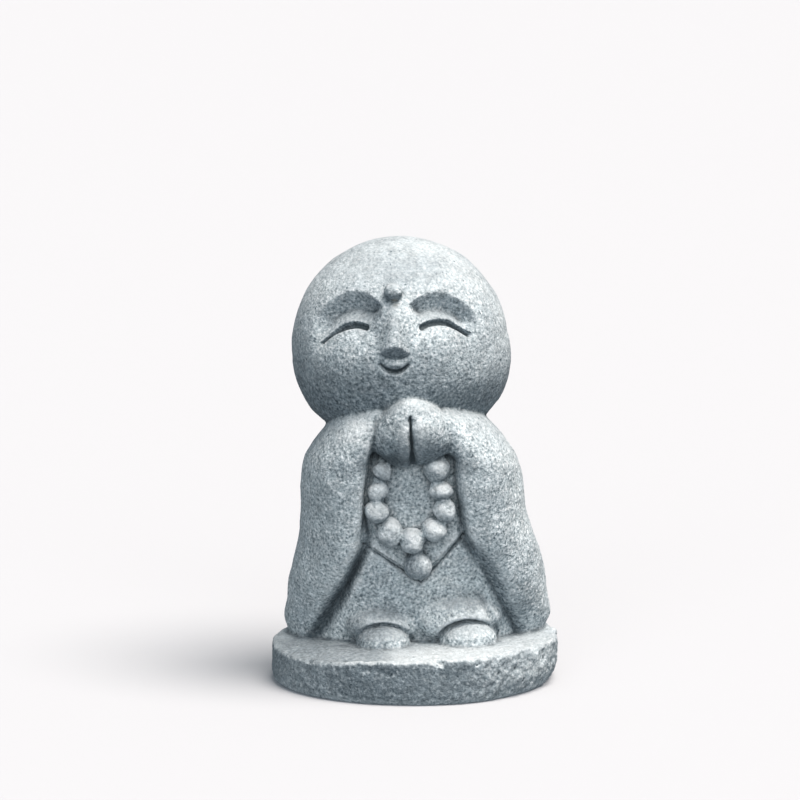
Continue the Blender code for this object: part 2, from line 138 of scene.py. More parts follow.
# Each lamp's direction, strength, width in degrees and colour, and the air's colour and strength
KEY = (Vector((0.32, -0.23, 0.92)), 6.4, 42, "#FFF2E8")
FILL = (Vector((0.0, -0.95, 0.3)), 1.85, 60, "#FFFCFA")
AIR = ("#EEF8FF", 0.37)


def matte(name, code):
    """A plain matte paint."""
    paint = bpy.data.materials.new(name)
    paint.use_nodes = True
    shader = paint.node_tree.nodes["Principled BSDF"]
    shader.inputs["Base Color"].default_value = linear(code)
    shader.inputs["Roughness"].default_value = 0.9
    return paint


def lamp(name, way, strength, width, code):
    """A soft lamp far away in a direction; width is how many degrees of the sky it fills."""
    light = bpy.data.lights.new(name, "SUN")
    light.energy = strength
    light.angle = math.radians(width)
    light.color = linear(code)[:3]
    obj = bpy.data.objects.new(name, light)
    scene.collection.objects.link(obj)
    obj.rotation_mode = "QUATERNION"
    obj.rotation_quaternion = way.to_track_quat("Z", "Y")
    obj.location = way
    return obj


bm = bmesh.new()
bmesh.ops.create_grid(bm, x_segments=1, y_segments=1, size=FLOOR_HALF)
floor = bpy.data.objects.new("floor", bpy.data.meshes.new("floor"))
bm.to_mesh(floor.data)
bm.free()
scene.collection.objects.link(floor)
floor.data.materials.append(matte("pale floor paint", FLOOR_PAINT))
floor.visible_diffuse = False
floor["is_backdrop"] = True

lamp("key softbox", *KEY)
lamp("front fill", *FILL)
world = bpy.data.worlds.new("studio air")
world.use_nodes = True
air = world.node_tree.nodes["Background"]
air.inputs["Color"].default_value = linear(AIR[0])
air.inputs["Strength"].default_value = AIR[1]
scene.world = world
scene.view_settings.view_transform = "Standard"
print("key lamp stands", round(math.degrees(math.asin(KEY[0].normalized().z))), "degrees high")

# %% [markdown]
# ## The stone
#
# Cast stone is stone powder and fine grit in a pale binder. The eye reads it by its grit: light
# and dark grains of a third of a millimetre, with a few larger dark specks, on a bluish grey that
# drifts a little from place to place. It has no gloss. Light and shade are painted into the colour
# too: painted shade makes hollows grey, grooves nearly black at the bottom and what faces down
# darker, painted light makes what stands out paler, and the grit is painted with more contrast on
# steep faces. A few grooves hold a little brown earth. An image could be wrapped round the figure,
# but noise in space needs no unwrapping and has no seams. Where painted shade, painted light and
# earth lie is read from marks that later steps leave on the mesh's points.

# %% Grains and colours of the stone
GRIT = 0.33  # the real grit may be finer, but it wouldn't show in the render

# Noise patterns: size in millimetres, how many finer layers lie on it, and seed
GRAINS = {
    "grit": (GRIT, 3.0, 0.0),
    "clusters": (1.1, 2.0, 1.7),
    "drift": (7.0, 2.0, 3.1),
    "specks": (0.55, 1.0, 5.3),
    "pits in the wash": (0.45, 2.0, 6.4),
    "knobbles": (0.9, 2.0, 8.1),
    "raised grit": (1.3 * GRIT, 3.0, 0.0),
}

# Colours along a pattern: the pattern, and the place and colour of each stop
SHADES = {
    # The first two rows are one grit painted as lit and as in shade; the rest is the stone's own
    # colour
    "lit_grit": ("grit", (0.34, "#96A2A8"), (0.47, "#A8B3B9"), (0.54, "#B1BCC2"), (0.68, "#C3CCD1")),
    "shaded_grit": ("grit", (0.34, "#68767D"), (0.46, "#A6B3B9"), (0.54, "#BBC7CD"), (0.66, "#E9F0F4")),
    "clusters": ("clusters", (0.35, "#D8D8D8"), (0.62, "#FFFFFF")),
    "drift": ("drift", (0.35, "#EAECEE"), (0.65, "#FFFFFF")),
    "specks": ("specks", (0.69, "#000000"), (0.75, "#FFFFFF")),
}
# The second colour is a painted highlight and the third a painted shade
SPECK, LIGHT_TINT, SHADE_TINT = linear("#56646C"), linear("#DDE4E8"), linear("#A0A7AC")
# The first is painted shade for the dips; the second is real earth in a few grooves
CREVICE, EARTH = linear("#323D43"), linear("#8A7F6A")
SHADE_SPREAD = (1.9, 0.05)  # the painted shade is darker in some pits than in others
KNOBBLE_RELIEF, GRIT_RELIEF = 0.2, 0.25
FINISH = {"Roughness": 0.92, "IOR": 1.5, "Specular IOR Level": 0.3}
print("stone:", len(GRAINS), "patterns of grains and", len(SHADES), "rows of colours")

# %% Mix the stone
def cast_stone():
    """Pale stone first, then each coat over the last; marks on the mesh say how much of some."""
    material = bpy.data.materials.new("cast stone")
    material.use_nodes = True
    tree = material.node_tree
    shader = tree.nodes["Principled BSDF"]
    where = add(tree, "ShaderNodeTexCoord").outputs["Object"]
    grain, shade, mark = {}, {}, {}
    for name in ("grime", "rubbed", "wash", "crevice", "earth"):
        mark[name] = add(tree, "ShaderNodeAttribute", attribute_name=name).outputs["Fac"]
    for name, (size, detail, seed) in GRAINS.items():
        inputs = {"Vector": where, "Scale": 1 / (size * MM), "Detail": detail, "W": seed}
        inputs["Roughness"] = 0.6
        grain[name] = add(tree, "ShaderNodeTexNoise", inputs, noise_dimensions="4D")
    for name, (pattern, *stops) in SHADES.items():
        shade[name] = add(tree, "ShaderNodeValToRGB", {"Fac": grain[pattern]})
        slots = shade[name].color_ramp.elements
        while len(slots) < len(stops):
            slots.new(0.5)
        for slot, (place, code) in zip(slots, stops):
            slot.position = place
            slot.color = linear(code)

    # Painted shade, uneven from pit to pit
    uneven = (grain["pits in the wash"], *SHADE_SPREAD)
    uneven = add(tree, "ShaderNodeMath", uneven, operation="MULTIPLY_ADD")
    wash = add(tree, "ShaderNodeMath", (mark["wash"], uneven), operation="MULTIPLY", use_clamp=True)
    colour = shade["lit_grit"]
    # The first coat paints the grit's shade, the fifth paints light, the sixth and seventh paint
    # shade; clusters, drift, specks and earth are the stone's own colour
    for share, coat, way in (
        (mark["grime"], shade["shaded_grit"], "MIX"),
        (0.75, shade["clusters"], "MULTIPLY"),
        (1.0, shade["drift"], "MULTIPLY"),
        (shade["specks"], SPECK, "MIX"),
        (mark["rubbed"], LIGHT_TINT, "MIX"),
        (wash, SHADE_TINT, "MULTIPLY"),
        (mark["crevice"], CREVICE, "MIX"),
        (mark["earth"], EARTH, "MIX"),
    ):
        inputs = {0: share, 6: colour, 7: coat}
        coated = add(tree, "ShaderNodeMix", inputs, data_type="RGBA", blend_type=way)
        colour = coated.outputs[2]
    tree.links.new(colour, shader.inputs["Base Color"])

    inputs = {"Distance": KNOBBLE_RELIEF * MM, "Height": grain["knobbles"]}
    relief = add(tree, "ShaderNodeBump", inputs)
    inputs = {"Distance": GRIT_RELIEF * MM, "Height": grain["raised grit"], "Normal": relief}
    relief = add(tree, "ShaderNodeBump", inputs)
    tree.links.new(relief.outputs[0], shader.inputs["Normal"])
    for name, value in FINISH.items():
        shader.inputs[name].default_value = value
    return material


STONE = cast_stone()
print("stone:", len(STONE.node_tree.nodes), "nodes")

# %% [markdown]
# ## Sizes of the figure
#
# The statue's measures are tables in millimetres above the base's top, read off front and side as a
# carver reads a drawing. Each row is one height. They could be typed into each piece, but in one
# place they can be compared and changed together.

# %% Sizes of the figure
BASE_THICKNESS = 5.3
BASE_HALF = (17.0, 16.5)
FIGURE_HEIGHT = 47.7
HEAD_RADIUS = 12.8
HEAD_MIDDLE = (-1.75, 0.5, FIGURE_HEIGHT - HEAD_RADIUS)
PANEL_STEP = 0.35

# Height, half width, front and back of the robe's trunk
TRUNK_ROWS = (
    (0.0, 12.5, -4.5, 11.0),
    (3.3, 12.0, -5.4, 11.4),
    (8.3, 11.2, -6.6, 11.2),
    (13.3, 10.6, -7.5, 10.8),
    (18.3, 10.4, -8.0, 10.2),
    (22.3, 9.8, -8.2, 9.2),
    (25.3, 8.6, -7.8, 7.6),
    (29.7, 6.5, -5.0, 4.5),
)

# Height, outer edge, inner edge, front and back of a sleeve
SLEEVE_ROWS = (
    (0.0, 15.3, 12.9, -1.8, 8.6),
    (1.7, 15.95, 12.2, -2.4, 9.6),
    (4.3, 15.65, 10.9, -4.4, 10.2),
    (8.3, 15.0, 8.7, -7.0, 10.2),
    (11.8, 14.1, 7.3, -8.8, 9.8),
    (15.3, 13.4, 6.8, -9.9, 9.0),
    (18.8, 13.2, 6.3, -10.8, 8.0),
    (21.9, 12.5, 5.7, -11.3, 6.6),
    (24.3, 11.1, 5.0, -11.5, 5.6),
    (26.3, 9.6, 4.6, -11.3, 4.4),
    (27.7, 8.2, 4.4, -11.0, 2.8),
    (28.7, 6.6, 4.2, -10.6, 0.5),
)
SLEEVE_CURL = 2.4
RIGHT_SLEEVE_FULLER = ((19, 23), (0.45, -0.6))  # heights, and how far its inner edge is moved in

# Height and sideways place of the figure's middle line, which leans a little as it rises
LEAN_ROWS = ((0, 0.25), (4, 0.4), (11, 0.25), (16, -0.15), (20, -0.38), (25, -0.5), (31, -0.9))

# Height, half width and front of the joined hands, and the line of the slit between them
HAND_ROWS = (
    (21.9, 3.6, -10.3),
    (22.9, 4.4, -11.8),
    (24.3, 4.65, -13.0),
    (25.9, 4.5, -13.6),
    (27.4, 4.1, -13.6),
    (28.4, 3.6, -13.3),
    (29.2, 2.8, -12.9),
    (29.8, 1.9, -12.5),
    (30.2, 0.8, -12.0),
)
HANDS_LEAN = ((22.7, 25.0, 30.7), (-0.35, -0.1, -0.3))
SLIT_LINE = ((21.8, 28.6), (-0.22, -0.57))

# Feet: sideways and forward place, half width and rise
FEET = ((-3.75, -5.8, 3.2, 2.3), (6.35, -5.3, 3.4, 2.8))
FOOT_HALF_LENGTH = 3.4
FOOT_LIFT, FOOT_TURN = 0.3, 5  # its middle's height, and how many degrees it is turned out

# Middle and half sizes of the robe's swellings over the insteps
FOLDS = ((-3.8, -3.3, 1.9, 4.5, 4.0, 2.6), (4.7, -3.1, 3.0, 5.5, 4.5, 3.3))
print("tables:", len(TRUNK_ROWS), "trunk rows and", len(SLEEVE_ROWS), "sleeve rows")

# %% [markdown]
# ## Tools for clay masses
#
# Three tools make every mass: a ball that can be stretched, a round limb with round ends, and a
# skin lofted through a pile of rings. Boxes with bevels would leave flat sides, and the real robe
# has none. Rows are joined by smooth curves, so a few measured heights give a flowing outline.

# %% Balls, limbs and lofts
def at(x, y, z):
    """A point of the figure, from millimetres above the base's top."""
    return Vector((x * MM, y * MM, (BASE_THICKNESS + z) * MM))


def lean(height):
    """How far the figure's middle line stands to the side at a height."""
    return float(np.interp(height, *zip(*LEAN_ROWS)))


def chest_front(height):
    """The trunk's front at a height, or at each of many."""
    return np.interp(height, [row[0] for row in TRUNK_ROWS], [row[2] for row in TRUNK_ROWS])


def smooth_rows(rows, steps=6):
    """The rows with more between them, on a smooth curve through each column."""
    table = np.array(rows, float)
    slopes = np.gradient(table, table[:, 0], axis=0)
    out = []
    for i in range(len(table) - 1):
        gap = table[i + 1, 0] - table[i, 0]
        for t in np.linspace(0, 1, steps, endpoint=i == len(table) - 2):
            low = (2 * t**3 - 3 * t**2 + 1) * table[i] + (t**3 - 2 * t**2 + t) * gap * slopes[i]
            high = (3 * t**2 - 2 * t**3) * table[i + 1] + (t**3 - t**2) * gap * slopes[i + 1]
            out.append(low + high)
    return out


def clay(name, bm):
    """The finished bmesh as an object with its faces turned outwards."""
    bmesh.ops.recalc_face_normals(bm, faces=bm.faces)
    obj = bpy.data.objects.new(name, bpy.data.meshes.new(name))
    bm.to_mesh(obj.data)
    bm.free()
    scene.collection.objects.link(obj)
    return obj


def ball(name, middle, halves, turn=0.0):
    """A ball stretched to half sizes in millimetres and turned about the upright, in degrees."""
    place = Matrix.Translation(middle) @ Matrix.Rotation(math.radians(turn), 4, "Z")
    place = place @ Matrix.Diagonal((*[half * MM for half in halves], 1))
    bm = bmesh.new()
    bmesh.ops.create_uvsphere(bm, u_segments=96, v_segments=48, radius=1, matrix=place)
    return clay(name, bm)


def limb(name, start, end, start_radius, end_radius):
    """A round limb with round ends."""
    bm = bmesh.new()
    run = end - start
    place = Matrix.Translation((start + end) / 2) @ run.to_track_quat("Z", "Y").to_matrix().to_4x4()
    size = {"radius1": start_radius * MM, "radius2": end_radius * MM, "depth": run.length}
    bmesh.ops.create_cone(bm, cap_ends=True, segments=64, matrix=place, **size)
    for point, radius in ((start, start_radius), (end, end_radius)):
        place = Matrix.Translation(point)
        bmesh.ops.create_uvsphere(bm, u_segments=64, v_segments=32, radius=radius * MM, matrix=place)
    return clay(name, bm)


def loft(name, rings):
    """A closed skin through rings of as many points each, from the lowest up."""
    bm = bmesh.new()
    loops = [[bm.verts.new(point) for point in ring] for ring in rings]
    for low, high in zip(loops, loops[1:]):
        for i in range(len(low)):
            bm.faces.new((low[i - 1], low[i], high[i], high[i - 1]))
    bm.faces.new(loops[0])
    bm.faces.new(loops[-1])
    return clay(name, bm)


def oval(x, y, z, half_width, half_depth, squareness=2.3, curl=0.0, count=96):
    """Points round a flattened oval; curl draws its front and back ends towards -X."""
    ring = []
    for angle in np.linspace(0, 2 * math.pi, count, endpoint=False):
        c, s = math.cos(angle), math.sin(angle)
        across = math.copysign(abs(c) ** (2 / squareness), c)
        along = math.copysign(abs(s) ** (2 / squareness), s)
        ring.append(at(x + across * half_width - curl * along**2, y + along * half_depth, z))
    return ring


print("chest at 10 mm stands", round(-chest_front(10), 2), "mm forward")

# %% [markdown]
# ## Robe and sleeves
#
# The robe hangs as one heavy bell. The arms are bent inside it, so the sleeves hang from the
# forearms as two thick flaps that curl towards the front. Cloth simulation would make thin folds,
# but this is stone cut in imitation of cloth: broad and soft, with hardly a fold.

# %% Robe and sleeves
ELBOW = (9.2, -3.5, 21.1)
WRIST = (6.0, -7.6, 24.8)
ARMS_LEFT = 0.45
ELBOW_RADIUS, WRIST_RADIUS = 3.0, 2.4
CUFF = (4.6, -9.7, 24.6, 1.5, 1.5, 1.4)  # fills the corner between the right palm and its sleeve
ROOT = 0.8  # how deep the figure is sunk in the base before both are fused


def rooted(rings):
    """The rings with one more below them, inside the base."""
    return [[point - Vector((0, 0, ROOT * MM)) for point in rings[0]], *rings]


def trunk():
    rows = smooth_rows(TRUNK_ROWS)
    rings = [oval(lean(z), (f + b) / 2, z, half, (b - f) / 2, 2.9) for z, half, f, b in rows]
    return loft("trunk", rooted(rings))


def fuller(z, side):
    """How much further in a sleeve's inner edge stands than its row says."""
    return float(np.interp(z, *RIGHT_SLEEVE_FULLER)) if side > 0 else 0.0


def sleeve(side):
    """The hanging sleeve on one side; side is 1 to the viewer's right and -1 to the left."""
    rings = []
    for z, outer, inner, front, back in smooth_rows(SLEEVE_ROWS):
        inner -= fuller(z, side)
        middle, half = (outer + inner) / 2, (outer - inner) / 2
        ring = oval(middle, (front + back) / 2, z, half, (back - front) / 2, 2.8, SLEEVE_CURL)
        rings.append([Vector((side * p.x + lean(z) * MM, p.y, p.z)) for p in ring])
    return loft("sleeve", rooted(rings))


def forearm(side):
    """It runs inside the sleeve's top, from the elbow to the heel of the hands."""
    ends = [at(side * x - ARMS_LEFT, y, z) for x, y, z in (ELBOW, WRIST)]
    return limb("forearm", *ends, ELBOW_RADIUS, WRIST_RADIUS)


folds = [ball("fold", at(*fold[:3]), fold[3:]) for fold in FOLDS]
cuff = ball("cuff", at(*CUFF[:3]), CUFF[3:])
robe_masses = [trunk(), sleeve(-1), sleeve(1), forearm(-1), forearm(1), cuff, *folds]
print("robe:", len(robe_masses), "masses")

# %% [markdown]
# ## One skin round the clay
#
# Masses that only overlap would meet in hard lines. A voxel remesh wraps one new skin round all of
# them, and a few passes of smoothing round off the inner corners as a mould does. The fineness of
# the voxels decides the smallest form that survives. The hem's arches over the toes are cut next,
# with a boolean, so their edges stay firmer than the folds above them.

# %% Fuse the robe and open the hem
ROBE_GRAIN = 0.25
ROBE_SOFTENING = 10
ARCH_GAP = 0.4
ARCH_FORWARD = 1.6


def baked(obj, name):
    """The object as its modifiers leave it, in a plain new object; the old one goes."""
    graph = bpy.context.evaluated_depsgraph_get()
    mesh = bpy.data.meshes.new_from_object(obj.evaluated_get(graph))
    bpy.data.objects.remove(obj)
    mesh.name = name
    made = bpy.data.objects.new(name, mesh)
    scene.collection.objects.link(made)
    return made


def fused(name, masses, grain, softening):
    """One skin round all the masses, which go; grain is in millimetres."""
    bm = bmesh.new()
    for mass in masses:
        bm.from_mesh(mass.data)
        bpy.data.objects.remove(mass)
    lump = clay(name, bm)
    remesh = lump.modifiers.new("one skin", "REMESH")
    remesh.mode = "VOXEL"
    remesh.voxel_size = grain * MM
    soften = lump.modifiers.new("soften", "SMOOTH")
    soften.factor = 0.5
    soften.iterations = softening
    return baked(lump, name)


def arch(x, y, half, rise):
    """A cutter a little larger than the foot that shows in the opening."""
    halves = (half + ARCH_GAP, FOOT_HALF_LENGTH, rise + ARCH_GAP)
    return ball("arch", at(x, y - ARCH_FORWARD, 0), halves)


robe = fused("robe", robe_masses, ROBE_GRAIN, ROBE_SOFTENING)
arches = [arch(*foot) for foot in FEET]
for cutter in arches:
    opening = robe.modifiers.new("opening", "BOOLEAN")
    opening.operation = "DIFFERENCE"
    opening.object = cutter
robe = baked(robe, "robe")
for cutter in arches:
    bpy.data.objects.remove(cutter)
print("robe:", len(robe.data.vertices), "points")

# %% [markdown]
# ## Head, hands, feet and the garment's front
#
# The head is very nearly a ball, a little fuller at the jowls, with a small round mark between the
# brows. The hands are a dome of two palms, pressed together. The front of the upper garment lies on
# the robe as a thin flat layer that ends in a V. Each could be sculpted from one lump, but as
# separate masses they can be moved until the outline is right.

# %% Head, hands, feet and the garment's front
FACE_TURN = -2.6
URNA_PLACE = (-1.5, 35.6)
URNA_RADIUS = 1.1
URNA_STAND = 0.4
JOWLS_DOWN, JOWLS_ASIDE = 1.4, 0.25
JOWLS_HALVES = (1.012, 0.96, 0.86)  # as shares of the head's radius
SKULL_DEPTH = 0.98
PANEL_EDGE = ((-6.9, 13.0), (0.75, 7.7), (6.9, 14.9))
PANEL_TOP, PANEL_TAPER, PANEL_THICK = 23.7, 0.7, 4
TUCK_ENDS = ((7.4, 11.5), (6.0, 22.5))
TUCK_RADII = (0.7, 1.4)
HANDS_BACK = -6.0
HEEL_HEIGHT = 2.5
HEEL_RISE = ((-1, -0.6, -0.1, 0.1, 0.6, 1), (1.0, 0.1, 0, 0.2, 0.35, 1.1))  # across the hands


def face_point(longitude, latitude, out=0.0):
    """A point over the head's ball, in degrees from the face's own middle and up from level."""
    turn, rise = math.radians(longitude + FACE_TURN), math.radians(latitude)
    way = Vector((math.sin(turn) * math.cos(rise), -math.cos(turn) * math.cos(rise), math.sin(rise)))
    return at(*HEAD_MIDDLE) + way * (HEAD_RADIUS + out) * MM


def head():
    x, y, z = HEAD_MIDDLE
    skull = ball("skull", at(x, y, z), (HEAD_RADIUS, HEAD_RADIUS * SKULL_DEPTH, HEAD_RADIUS))
    halves = [HEAD_RADIUS * share for share in JOWLS_HALVES]
    jowls = ball("jowls", at(x + JOWLS_ASIDE, y, z - JOWLS_DOWN), halves)
    urna = ball("urna", face_point(*URNA_PLACE, URNA_STAND), (URNA_RADIUS,) * 3)
    return [skull, jowls, urna]


def hands():
    rings = []
    for z, half, front in smooth_rows(HAND_ROWS):
        middle = float(np.interp(z, *HANDS_LEAN))
        ring = oval(middle, (front + HANDS_BACK) / 2, z, half, (HANDS_BACK - front) / 2, 2.2)
        heel = max(0.0, 1 - (z - HAND_ROWS[0][0]) / HEEL_HEIGHT)
        for point in ring:
            point.z += heel * MM * float(np.interp((point.x / MM - middle) / half, *HEEL_RISE))
        rings.append(ring)
    return loft("hands", rings)


def panel():
    """The flat front of the upper garment, a slab whose back is inside the trunk."""
    left, tip, right = PANEL_EDGE
    top = ((right[0] - PANEL_TAPER, PANEL_TOP), (left[0] + PANEL_TAPER, PANEL_TOP))
    outline = (left, tip, right, *top)
    bm = bmesh.new()
    front = bm.faces.new([bm.verts.new(at(x, chest_front(z) - PANEL_STEP, z)) for x, z in outline])
    back = bmesh.ops.extrude_face_region(bm, geom=[front])["geom"]
    moved = [item for item in back if isinstance(item, bmesh.types.BMVert)]
    bmesh.ops.translate(bm, verts=moved, vec=Vector((0, PANEL_THICK * MM, 0)))
    return clay("panel", bm)


def tuck(side):
    """The robe where it fills the corner between the chest and a sleeve."""
    ends = [at(side * (x - fuller(z, side)) + lean(z), chest_front(z), z) for x, z in TUCK_ENDS]
    return limb("tuck", *ends, *TUCK_RADII)


def foot(x, y, half, rise):
    halves = (half, FOOT_HALF_LENGTH, rise - FOOT_LIFT)
    return ball("foot", at(x, y, FOOT_LIFT), halves, math.copysign(FOOT_TURN, x))


figure_masses = [robe, *head(), hands(), panel(), tuck(-1), tuck(1), *[foot(*f) for f in FEET]]
print("figure:", len(figure_masses), "masses before the beads")

# %% [markdown]
# ## Beads, by Geometry Nodes
#
# Nine lumpy beads lie in a loop on the chest and a larger one hangs from the lowest. They could be
# placed one by one, but beads follow a rule: each touches the next along the thread. The tree
# walks the thread by adding up the beads' pitches, sets a ball at each place, and kneads each one a
# little with noise, because the carver cut them by eye. Curves inside the tree give each bead its
# pitch, which is the length of thread that it takes up, and how wide and how tall it was cut.

# %% What the trees share
def inputs_and_outputs(tree, sockets):
    """Names the tree's inputs, gives it one geometry output, and returns both end nodes."""
    for name, kind in sockets.items():
        tree.interface.new_socket(name, in_out="INPUT", socket_type=f"NodeSocket{kind}")
    tree.interface.new_socket("Result", in_out="OUTPUT", socket_type="NodeSocketGeometry")
    return add(tree, "NodeGroupInput").outputs, add(tree, "NodeGroupOutput")


def swells(tree, size, depth, seed, detail=2.0):
    """Soft noise of a size that rises and dips, by a depth from its lowest to its highest."""
    scale = add(tree, "ShaderNodeMath", (1.0, size), operation="DIVIDE")
    inputs = {"Scale": scale, "W": seed, "Detail": detail}
    soft = add(tree, "ShaderNodeTexNoise", inputs, noise_dimensions="4D")
    middled = add(tree, "ShaderNodeMath", (soft, 0.5), operation="SUBTRACT")
    return add(tree, "ShaderNodeMath", (middled, depth), operation="MULTIPLY")


def push_and_end(tree, end, skin, rise, stone):
    """Pushes the skin out along its normals, and ends the tree with a plain mesh of stone."""
    normal = add(tree, "GeometryNodeInputNormal")
    push = add(tree, "ShaderNodeVectorMath", {0: normal, "Scale": rise}, operation="SCALE")
    moved = add(tree, "GeometryNodeSetPosition", {"Geometry": skin, "Offset": push})
    whole = add(tree, "GeometryNodeRealizeInstances", {"Geometry": moved})
    done = add(tree, "GeometryNodeSetMaterial", {"Geometry": whole, "Material": stone})
    tree.links.new(done.outputs[0], end.inputs[0])


print("each tree ends in Realize Instances and Set Material")

# %% The tree that threads the beads
BEAD_PITCHES = (2.15, 2.4, 2.9, 2.85, 3.0, 2.75, 2.75, 2.2, 3.1)
BEAD_WIDTHS = (2.15, 2.2, 2.8, 2.55, 2.85, 2.65, 2.6, 2.6, 2.95)
BEAD_HEIGHTS = (2.1, 2.3, 2.7, 3.4, 2.95, 2.7, 2.8, 2.15, 3.15)
LARGEST_BEAD = 3.5
BEAD_FULLNESS = 1.05  # makes up for what the softening of the skin takes off a bead


def bead_tree():
    tree = bpy.data.node_groups.new("beads on a thread", "GeometryNodeTree")
    lengths = ("Largest bead", "Slack", "Lump size", "Lump depth")
    sockets = {"Thread": "Geometry", "Count": "Int", **dict.fromkeys(lengths, "Float")}
    given, end = inputs_and_outputs(tree, {**sockets, "Seed": "Int", "Stone": "Material"})
    thread = add(tree, "GeometryNodeMeshToCurve", {"Mesh": given["Thread"]})
    points = add(tree, "GeometryNodePoints", {"Count": given["Count"]})
    number = add(tree, "GeometryNodeInputIndex")
    last = add(tree, "ShaderNodeMath", (given["Count"], 1.0), operation="SUBTRACT")
    along = add(tree, "ShaderNodeMath", (number, last), operation="DIVIDE")

    # Each curve holds one measure of the beads, as shares of the largest
    measured = []
    for table in (BEAD_PITCHES, BEAD_WIDTHS, BEAD_HEIGHTS):
        curve = add(tree, "ShaderNodeFloatCurve", {"Value": along})
        line = curve.mapping.curves[0]
        while len(line.points) < len(table):
            line.points.new(0.5, 0.5)
        for i, size in enumerate(table):
            line.points[i].location = (i / (len(table) - 1), size / LARGEST_BEAD)
            line.points[i].handle_type = "VECTOR"
        curve.mapping.update()
        size = (curve, given["Largest bead"])
        measured.append(add(tree, "ShaderNodeMath", size, operation="MULTIPLY"))
    pitch, width, height = measured

    # A bead's middle is all the pitches up to it, less half its own
    run = add(tree, "GeometryNodeAccumulateField", {"Value": pitch}, data_type="FLOAT")
    half = add(tree, "ShaderNodeMath", (pitch, 0.5), operation="MULTIPLY")
    middle = add(tree, "ShaderNodeMath", (run.outputs["Leading"], half), operation="SUBTRACT")
    walked = add(tree, "ShaderNodeMath", (middle, given["Slack"]), operation="MULTIPLY")
    inputs = {"Curves": thread, "Length": walked}
    spot = add(tree, "GeometryNodeSampleCurve", inputs, mode="LENGTH").outputs["Position"]
    strung = add(tree, "GeometryNodeSetPosition", {"Geometry": points, "Position": spot})

    inputs = {"Radius": BEAD_FULLNESS / 2, "Subdivisions": 5}
    one_bead = add(tree, "GeometryNodeMeshIcoSphere", inputs)
    sizes = add(tree, "ShaderNodeCombineXYZ", (width, width, height))
    inputs = {"Points": strung, "Instance": one_bead, "Scale": sizes}
    placed = add(tree, "GeometryNodeInstanceOnPoints", inputs)

    # Instances are made real before they are kneaded, because only then have they points to move
    whole = add(tree, "GeometryNodeRealizeInstances", {"Geometry": placed})
    rise = swells(tree, given["Lump size"], given["Lump depth"], given["Seed"], 1.0)
    push_and_end(tree, end, whole, rise, given["Stone"])
    return tree


bead_nodes = bead_tree()
print("bead tree:", len(bead_nodes.nodes), "nodes")

# %% [markdown]
# ## The thread and its beads
#
# The thread is a loop on the chest, open at the top where it goes under the hands. It starts half
# a bead before the first one. The strand behind the beads is a cord half sunk in the robe, which
# closes the gaps between them, as the mould's makers did so that the rubber would come away.

# %% Thread the beads
THREAD = (
    (-3.6, 22.3),
    (-3.95, 21.2),
    (-4.3, 18.95),
    (-4.4, 16.25),
    (-2.8, 13.85),
    (-0.05, 12.85),
    (2.4, 14.35),
    (3.6, 16.9),
    (2.95, 19.25),
    (2.5, 21.75),
    (2.0, 23.2),
)
BEAD_STAND = 0.85
STRAND_RADIUS = 0.85
PENDANT = (0.35, 9.8)
PENDANT_HALVES = (1.72, 1.6, 1.65)


def thread_line(stand, steps):
    """Points along the thread, standing off the garment's front."""
    rows = smooth_rows([(i, *place) for i, place in enumerate(THREAD)], steps)
    return [at(x, chest_front(z) - PANEL_STEP - stand, z) for _, x, z in rows]


def with_tree(obj, tree, **values):
    """The object as a Geometry Nodes tree leaves it; values are the tree's inputs by name."""
    modifier = obj.modifiers.new(tree.name, "NODES")
    modifier.node_group = tree
    for item in tree.interface.items_tree:
        key = item.name.replace(" ", "_").lower()
        if item.in_out == "INPUT" and key in values:
            modifier[item.identifier] = values[key]
    return baked(obj, obj.name)


bm = bmesh.new()
knots = [bm.verts.new(point) for point in thread_line(BEAD_STAND, 24)]
for pair in zip(knots, knots[1:]):
    bm.edges.new(pair)
thread = bpy.data.objects.new("beads", bpy.data.meshes.new("thread"))
bm.to_mesh(thread.data)
bm.free()
scene.collection.objects.link(thread)
beads = with_tree(
    thread,
    bead_nodes,
    count=len(BEAD_PITCHES),
    largest_bead=LARGEST_BEAD * MM,
    slack=1.01,
    lump_size=1.5 * MM,
    lump_depth=0.8 * MM,
    seed=4,
    stone=STONE,
)


def strand():
    """Short limbs from bead to bead, and one down to the pendant."""
    spots = thread_line(0, 2)
    runs = [limb("strand", a, b, STRAND_RADIUS, STRAND_RADIUS) for a, b in zip(spots, spots[1:])]
    lowest = min(spots, key=lambda spot: spot.z)
    below = at(PENDANT[0], chest_front(PENDANT[1]) - PANEL_STEP, PENDANT[1])
    return [*runs, limb("strand", lowest, below, STRAND_RADIUS, STRAND_RADIUS)]


hang = at(PENDANT[0], chest_front(PENDANT[1]) - PANEL_STEP - BEAD_STAND, PENDANT[1])
pendant = ball("pendant", hang, PENDANT_HALVES)
figure_masses += [beads, pendant, *strand()]
print("beads:", len(BEAD_PITCHES), "on the thread and one pendant")

# %% [markdown]
# ## Base
#
# The base is a low disc, a little shallower than wide, with a worn rim. It is turned from a cone
# tool with equal ends and its edges are bevelled, then it joins the rest of the clay: on the real
# piece, figure and base come out of one mould.

# %% Base and the whole skin
TOP_BEVEL = 0.5
FOOT_BEVEL = 1.0
SKIN_GRAIN = 0.15
SKIN_SOFTENING = 2


